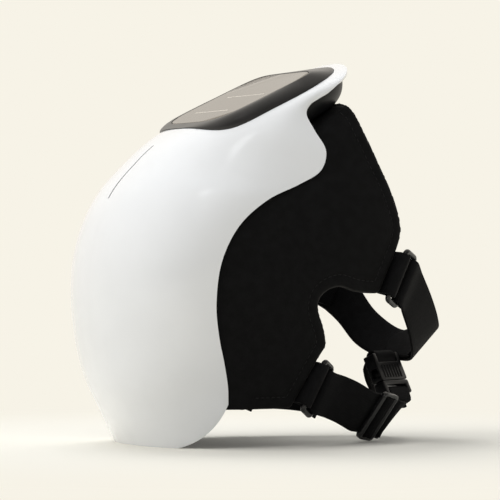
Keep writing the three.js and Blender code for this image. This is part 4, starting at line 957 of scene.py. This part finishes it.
upper_table = [
    (0.772, -0.704, 0.399, 0.45, 0.02, 0.89), (0.884, -0.553, 0.336, 0.55, 0.05, 0.83),
    (0.986, -0.368, 0.280, 0.68, 0.1, 0.72), (1.047, -0.184, 0.253, 0.72, 0.1, 0.68),
    (1.035, 0.000, 0.248, 0.72, 0.25, 0.64), (0.963, 0.184, 0.252, 0.71, 0.39, 0.59),
    (0.870, 0.368, 0.294, 0.62, 0.28, 0.73), (0.815, 0.540, 0.358, 0.52, 0.1, 0.84),
    (0.772, 0.704, 0.399, 0.45, -0.02, 0.89),
]
upper_half, flap_share, flap_round = 44, 0.94, 0.010
upper_route = route(upper_table, 2 * upper_half)
upper_left, upper_right = upper_route[:upper_half + 1], upper_route[upper_half:]
left_end = strap_start("upper")
right_end = mirrored(left_end)
upper_left_strap = web("upper_strap_left", left_end + upper_left)
tie(upper_left_strap)
upper_right_strap = web("upper_strap_right", upper_right + right_end[::-1])
tie(upper_right_strap)
for piece in (upper_left_strap, upper_right_strap):
    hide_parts("upper_strap")
tail_route, tail_gap, tail_first, tail_end = [], 0.0004, 32, 56
for k in range(tail_first, tail_end):
    place, wide, share = upper_route[k]
    run = upper_route[k + 1][0] - upper_route[k - 1][0]
    tail_route.append((place + wide.cross(run).normalized() * (web_thick + tail_gap), wide, share))
strap_tail_flap = web("upper_strap_flap", tail_route, width=flap_share * web_width, round_end=flap_round)
dress(strap_tail_flap, weave)
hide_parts("upper_strap_tail")

# Slider: a three-bar nylon buckle on the lower left strap, which sets the strap's length. Its two end bars
# carry a raised, rounded rim.
slider_bars = Vector((0.395, -0.383, 0.836)).normalized()
slider_lead = square_to(Vector((0.835, 0.53, -0.153)), slider_bars)
slider_out = -slider_bars.cross(slider_lead)
slider_middle = box_middle("strap_slider")
slider_length, slider_width, slider_bar = 0.0334, 0.017, 0.0032
slider_rim_inset, slider_rim_rise, slider_rim_radius = 0.0028, 0.0010, 0.0011


def own_solid(node, name, bevel=0.0005, segments=3, angle=35):
    """Copy of a CAD solid, merged, with its flat faces made whole and its edges rounded."""
    piece = own_copy(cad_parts[node], name)
    piece.parent = None
    for key in [k for k in piece.keys() if k.startswith("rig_")]:
        del piece[key]
    piece.data.materials.clear()
    edit_all()
    bpy.ops.mesh.remove_doubles(threshold=0.00001)
    bpy.ops.mesh.dissolve_limited(angle_limit=math.radians(2))
    bpy.ops.object.mode_set(mode="OBJECT")
    shape(piece, "BEVEL", width=bevel, segments=segments, limit_method="ANGLE",
          angle_limit=math.radians(angle), use_clamp_overlap=True)
    return smooth(piece, 40)


def join_up(first, *others):
    pick(first)
    for piece in others:
        piece.select_set(True)
    bpy.ops.object.join()
    return first


slider = own_solid("strap_slider", "slider_frame", bevel=0.0009)
rims = []
for end in (-1, 1):
    at = slider_middle + end * (slider_width - slider_bar) / 2 * slider_lead + slider_out * slider_rim_rise
    half = (slider_length / 2 - slider_rim_inset) * slider_bars
    rims.append(rod(f"rim_{end}", [at - half, at + half], slider_rim_radius, closed=False))
slider = join_up(slider, *rims)
dress(slider, nylon, "slider_body")
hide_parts("strap_slider")

# Lower left strap: from its ring down through the slider, under its side bars and over its middle bar, and on
# to the male half of the buckle, where the web is gathered to 20 mm.
buckle_place = at_shares(0.7935, -0.287, 0.154)
buckle_rise = Vector((-0.2, 0.37, 0.9)).normalized()
buckle_across = square_to(Vector((0.88, 0.47, 0)), buckle_rise)
buckle_out = buckle_across.cross(buckle_rise)
buckle_gather, buckle_turn, buckle_tail = 20 / 28, 0.0033, 0.009
socket_bar, plug_bar = 0.0166, -0.0076
lower_front_table = [
    (0.290, -0.684, 0.125, 0.475, -0.1, 0.85), (0.390, -0.650, 0.107, 0.46, -0.25, 0.85),
    (0.500, -0.605, 0.081, 0.42, -0.36, 0.84),
]
lower_rear_table = [
    (0.722, -0.440, 0.056, 0.395, -0.383, 0.836), (0.759, -0.404, 0.060, 0.6, -0.2, 0.75),
    (0.771, -0.380, 0.086, 0.92, 0.3, 0.2), (0.831, -0.384, 0.107, 0.88, 0.47, 0),
]
slider_slot, web_play = (slider_width - 3 * slider_bar) / 2, 0.0003
slot_middle = (slider_slot + slider_bar) / 2
past = (slider_width + slider_slot) / 2
lift = slider_bar / 2 + web_play + web_thick / 2
rising = [(-past, -1), (-slot_middle - slider_slot / 2, -1), (-slot_middle - slider_slot / 8, -0.75),
          (-slot_middle, 0), (-slot_middle + slider_slot / 8, 0.75), (-slider_bar / 2, 1), (0, 1)]
weave_rows = rising + [(-along, height) for along, height in rising[-2::-1]]
slider_weave = [(slider_middle + along * slider_lead + height * lift * slider_out, slider_bars, 1.0)
                for along, height in weave_rows]
front_part = strap_start("lower") + route(lower_front_table, 16) + slider_weave[:7]
plug_turn = bar_turn(buckle_place + plug_bar * buckle_rise, buckle_across, -buckle_rise, -buckle_out,
                     buckle_turn, buckle_tail, buckle_gather)
rear_part = slider_weave[6:] + route(lower_rear_table, 22, (1, buckle_gather)) + plug_turn[::-1]
lower_front = web("lower_left_strap_front", front_part, ease=1)
tie(lower_front)
lower_rear = web("lower_left_strap_rear", rear_part, ease=1)
tie(lower_rear)
for piece in (lower_front, lower_rear):
    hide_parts("lower_left_strap")
lower_right_table = [
    (0.262, 0.730, 0.129, 0.47, 0.02, 0.87), (0.400, 0.700, 0.124, 0.48, 0.04, 0.87),
    (0.558, 0.632, 0.116, 0.5, 0.08, 0.86), (0.726, 0.513, 0.097, 0.56, 0.25, 0.79),
    (0.837, 0.355, 0.084, 0.66, 0.45, 0.6), (0.874, 0.190, 0.095, 0.78, 0.5, 0.35),
    (0.837, 0.000, 0.122, 0.84, 0.5, 0.15), (0.776, -0.070, 0.160, 0.87, 0.48, 0.05),
    (0.736, -0.132, 0.190, 0.88, 0.47, 0),
]
socket_turn = bar_turn(buckle_place + socket_bar * buckle_rise, buckle_across, -buckle_rise, buckle_out,
                       buckle_turn, buckle_tail / 2, buckle_gather)
right_part = mirrored(strap_start("lower")) + route(lower_right_table, 48, (1, buckle_gather))
right_part += socket_turn[::-1]
lower_right = web("lower_right_strap_web", right_part, ease=1)
tie(lower_right)
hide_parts("lower_right_strap")

# Tabs: short loops of the same webbing, doubled round the rings' inner bars. Each is sewn inside the edge of
# its wing and lets its ring swing a little.
for side in ("left", "right"):
    for level in ring_tables:
        tab = own_solid(f"{side}_{level}_tab", f"{side}_{level}_tab_loop", bevel=0.0003, segments=2, angle=50)
        dress(tab, weave, f"{side}_wing_body")
        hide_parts(f"{side}_{level}_tab")

# Clip buckle: a side-release pair of black acetal. The female half has grip ribs on both faces and a window
# in each side for the prongs' release pads; the male half has two sprung prongs and a guide tongue between.
acetal = finish("acetal", (0.005, 0.005, 0.0055), (0.008, 0.008, 0.0085), 0.34, 0.06, cloud=240, grain=2000,
                relief=0.08, depth=0.0001, sockets={"Specular IOR Level": 0.3})
socket = own_solid("buckle_socket", "socket_body", bevel=0.0007)
rib_pitch, rib_height, rib_out, rib_radius = 0.0029, 0.0062, 0.0040, 0.00062
rib_below, rib_above = 0.0046, 0.0036
ribs_made = []
for face in (-1, 1):
    for number in range(-3, 4):
        at = buckle_place + rib_height * buckle_rise + number * rib_pitch * buckle_across
        at += face * rib_out * buckle_out
        rib_line = [at - rib_below * buckle_rise, at + rib_above * buckle_rise]
        ribs_made.append(rod(f"rib_{face}_{number}", rib_line, rib_radius, closed=False, sides=3))
socket = join_up(socket, *ribs_made)
plug = own_solid("buckle_plug", "plug_base", bevel=0.0006)
prongs = {side: own_solid(f"{side}_prong", f"{side}_prong_arm", bevel=0.0005) for side in ("left", "right")}
for piece, body, node in ((socket, "massager", "buckle_socket"), (plug, "plug_body", "buckle_plug"),
                          (prongs["left"], "left_prong_body", "left_prong"),
                          (prongs["right"], "right_prong_body", "right_prong")):
    dress(piece, acetal, body)
    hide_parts(node)

# Inside: the chassis with its screws and board, the battery, the air pump and its valve in the housing, and
# the two vibration motors with their off-centre weights in their cradle. The CAD solids stay, each in its own
# finish.
steel = finish("steel", (0.42, 0.42, 0.43), (0.55, 0.55, 0.56), 0.28, 0.06, cloud=300,
               sockets={"Metallic": 1.0})
board_green = finish("board_green", (0.012, 0.075, 0.03), (0.02, 0.10, 0.04), 0.35, 0.05, cloud=160)
cell_foil = finish("cell_foil", (0.34, 0.35, 0.36), (0.44, 0.45, 0.46), 0.30, 0.08, cloud=70,
                   sockets={"Metallic": 0.7})
inside = {
    "pod_chassis": satin_black, "main_board": board_green, "battery": cell_foil, "air_pump": steel,
    "air_valve": satin_black, "motor_cradle": satin_black, "left_motor": steel, "right_motor": steel,
    "left_motor_weight": steel, "right_motor_weight": steel,
    **{f"chassis_screw_{number}": steel for number in (1, 2, 3, 4)},
}
for node, made in inside.items():
    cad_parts[node].data.materials.clear()
    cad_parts[node].data.materials.append(made)
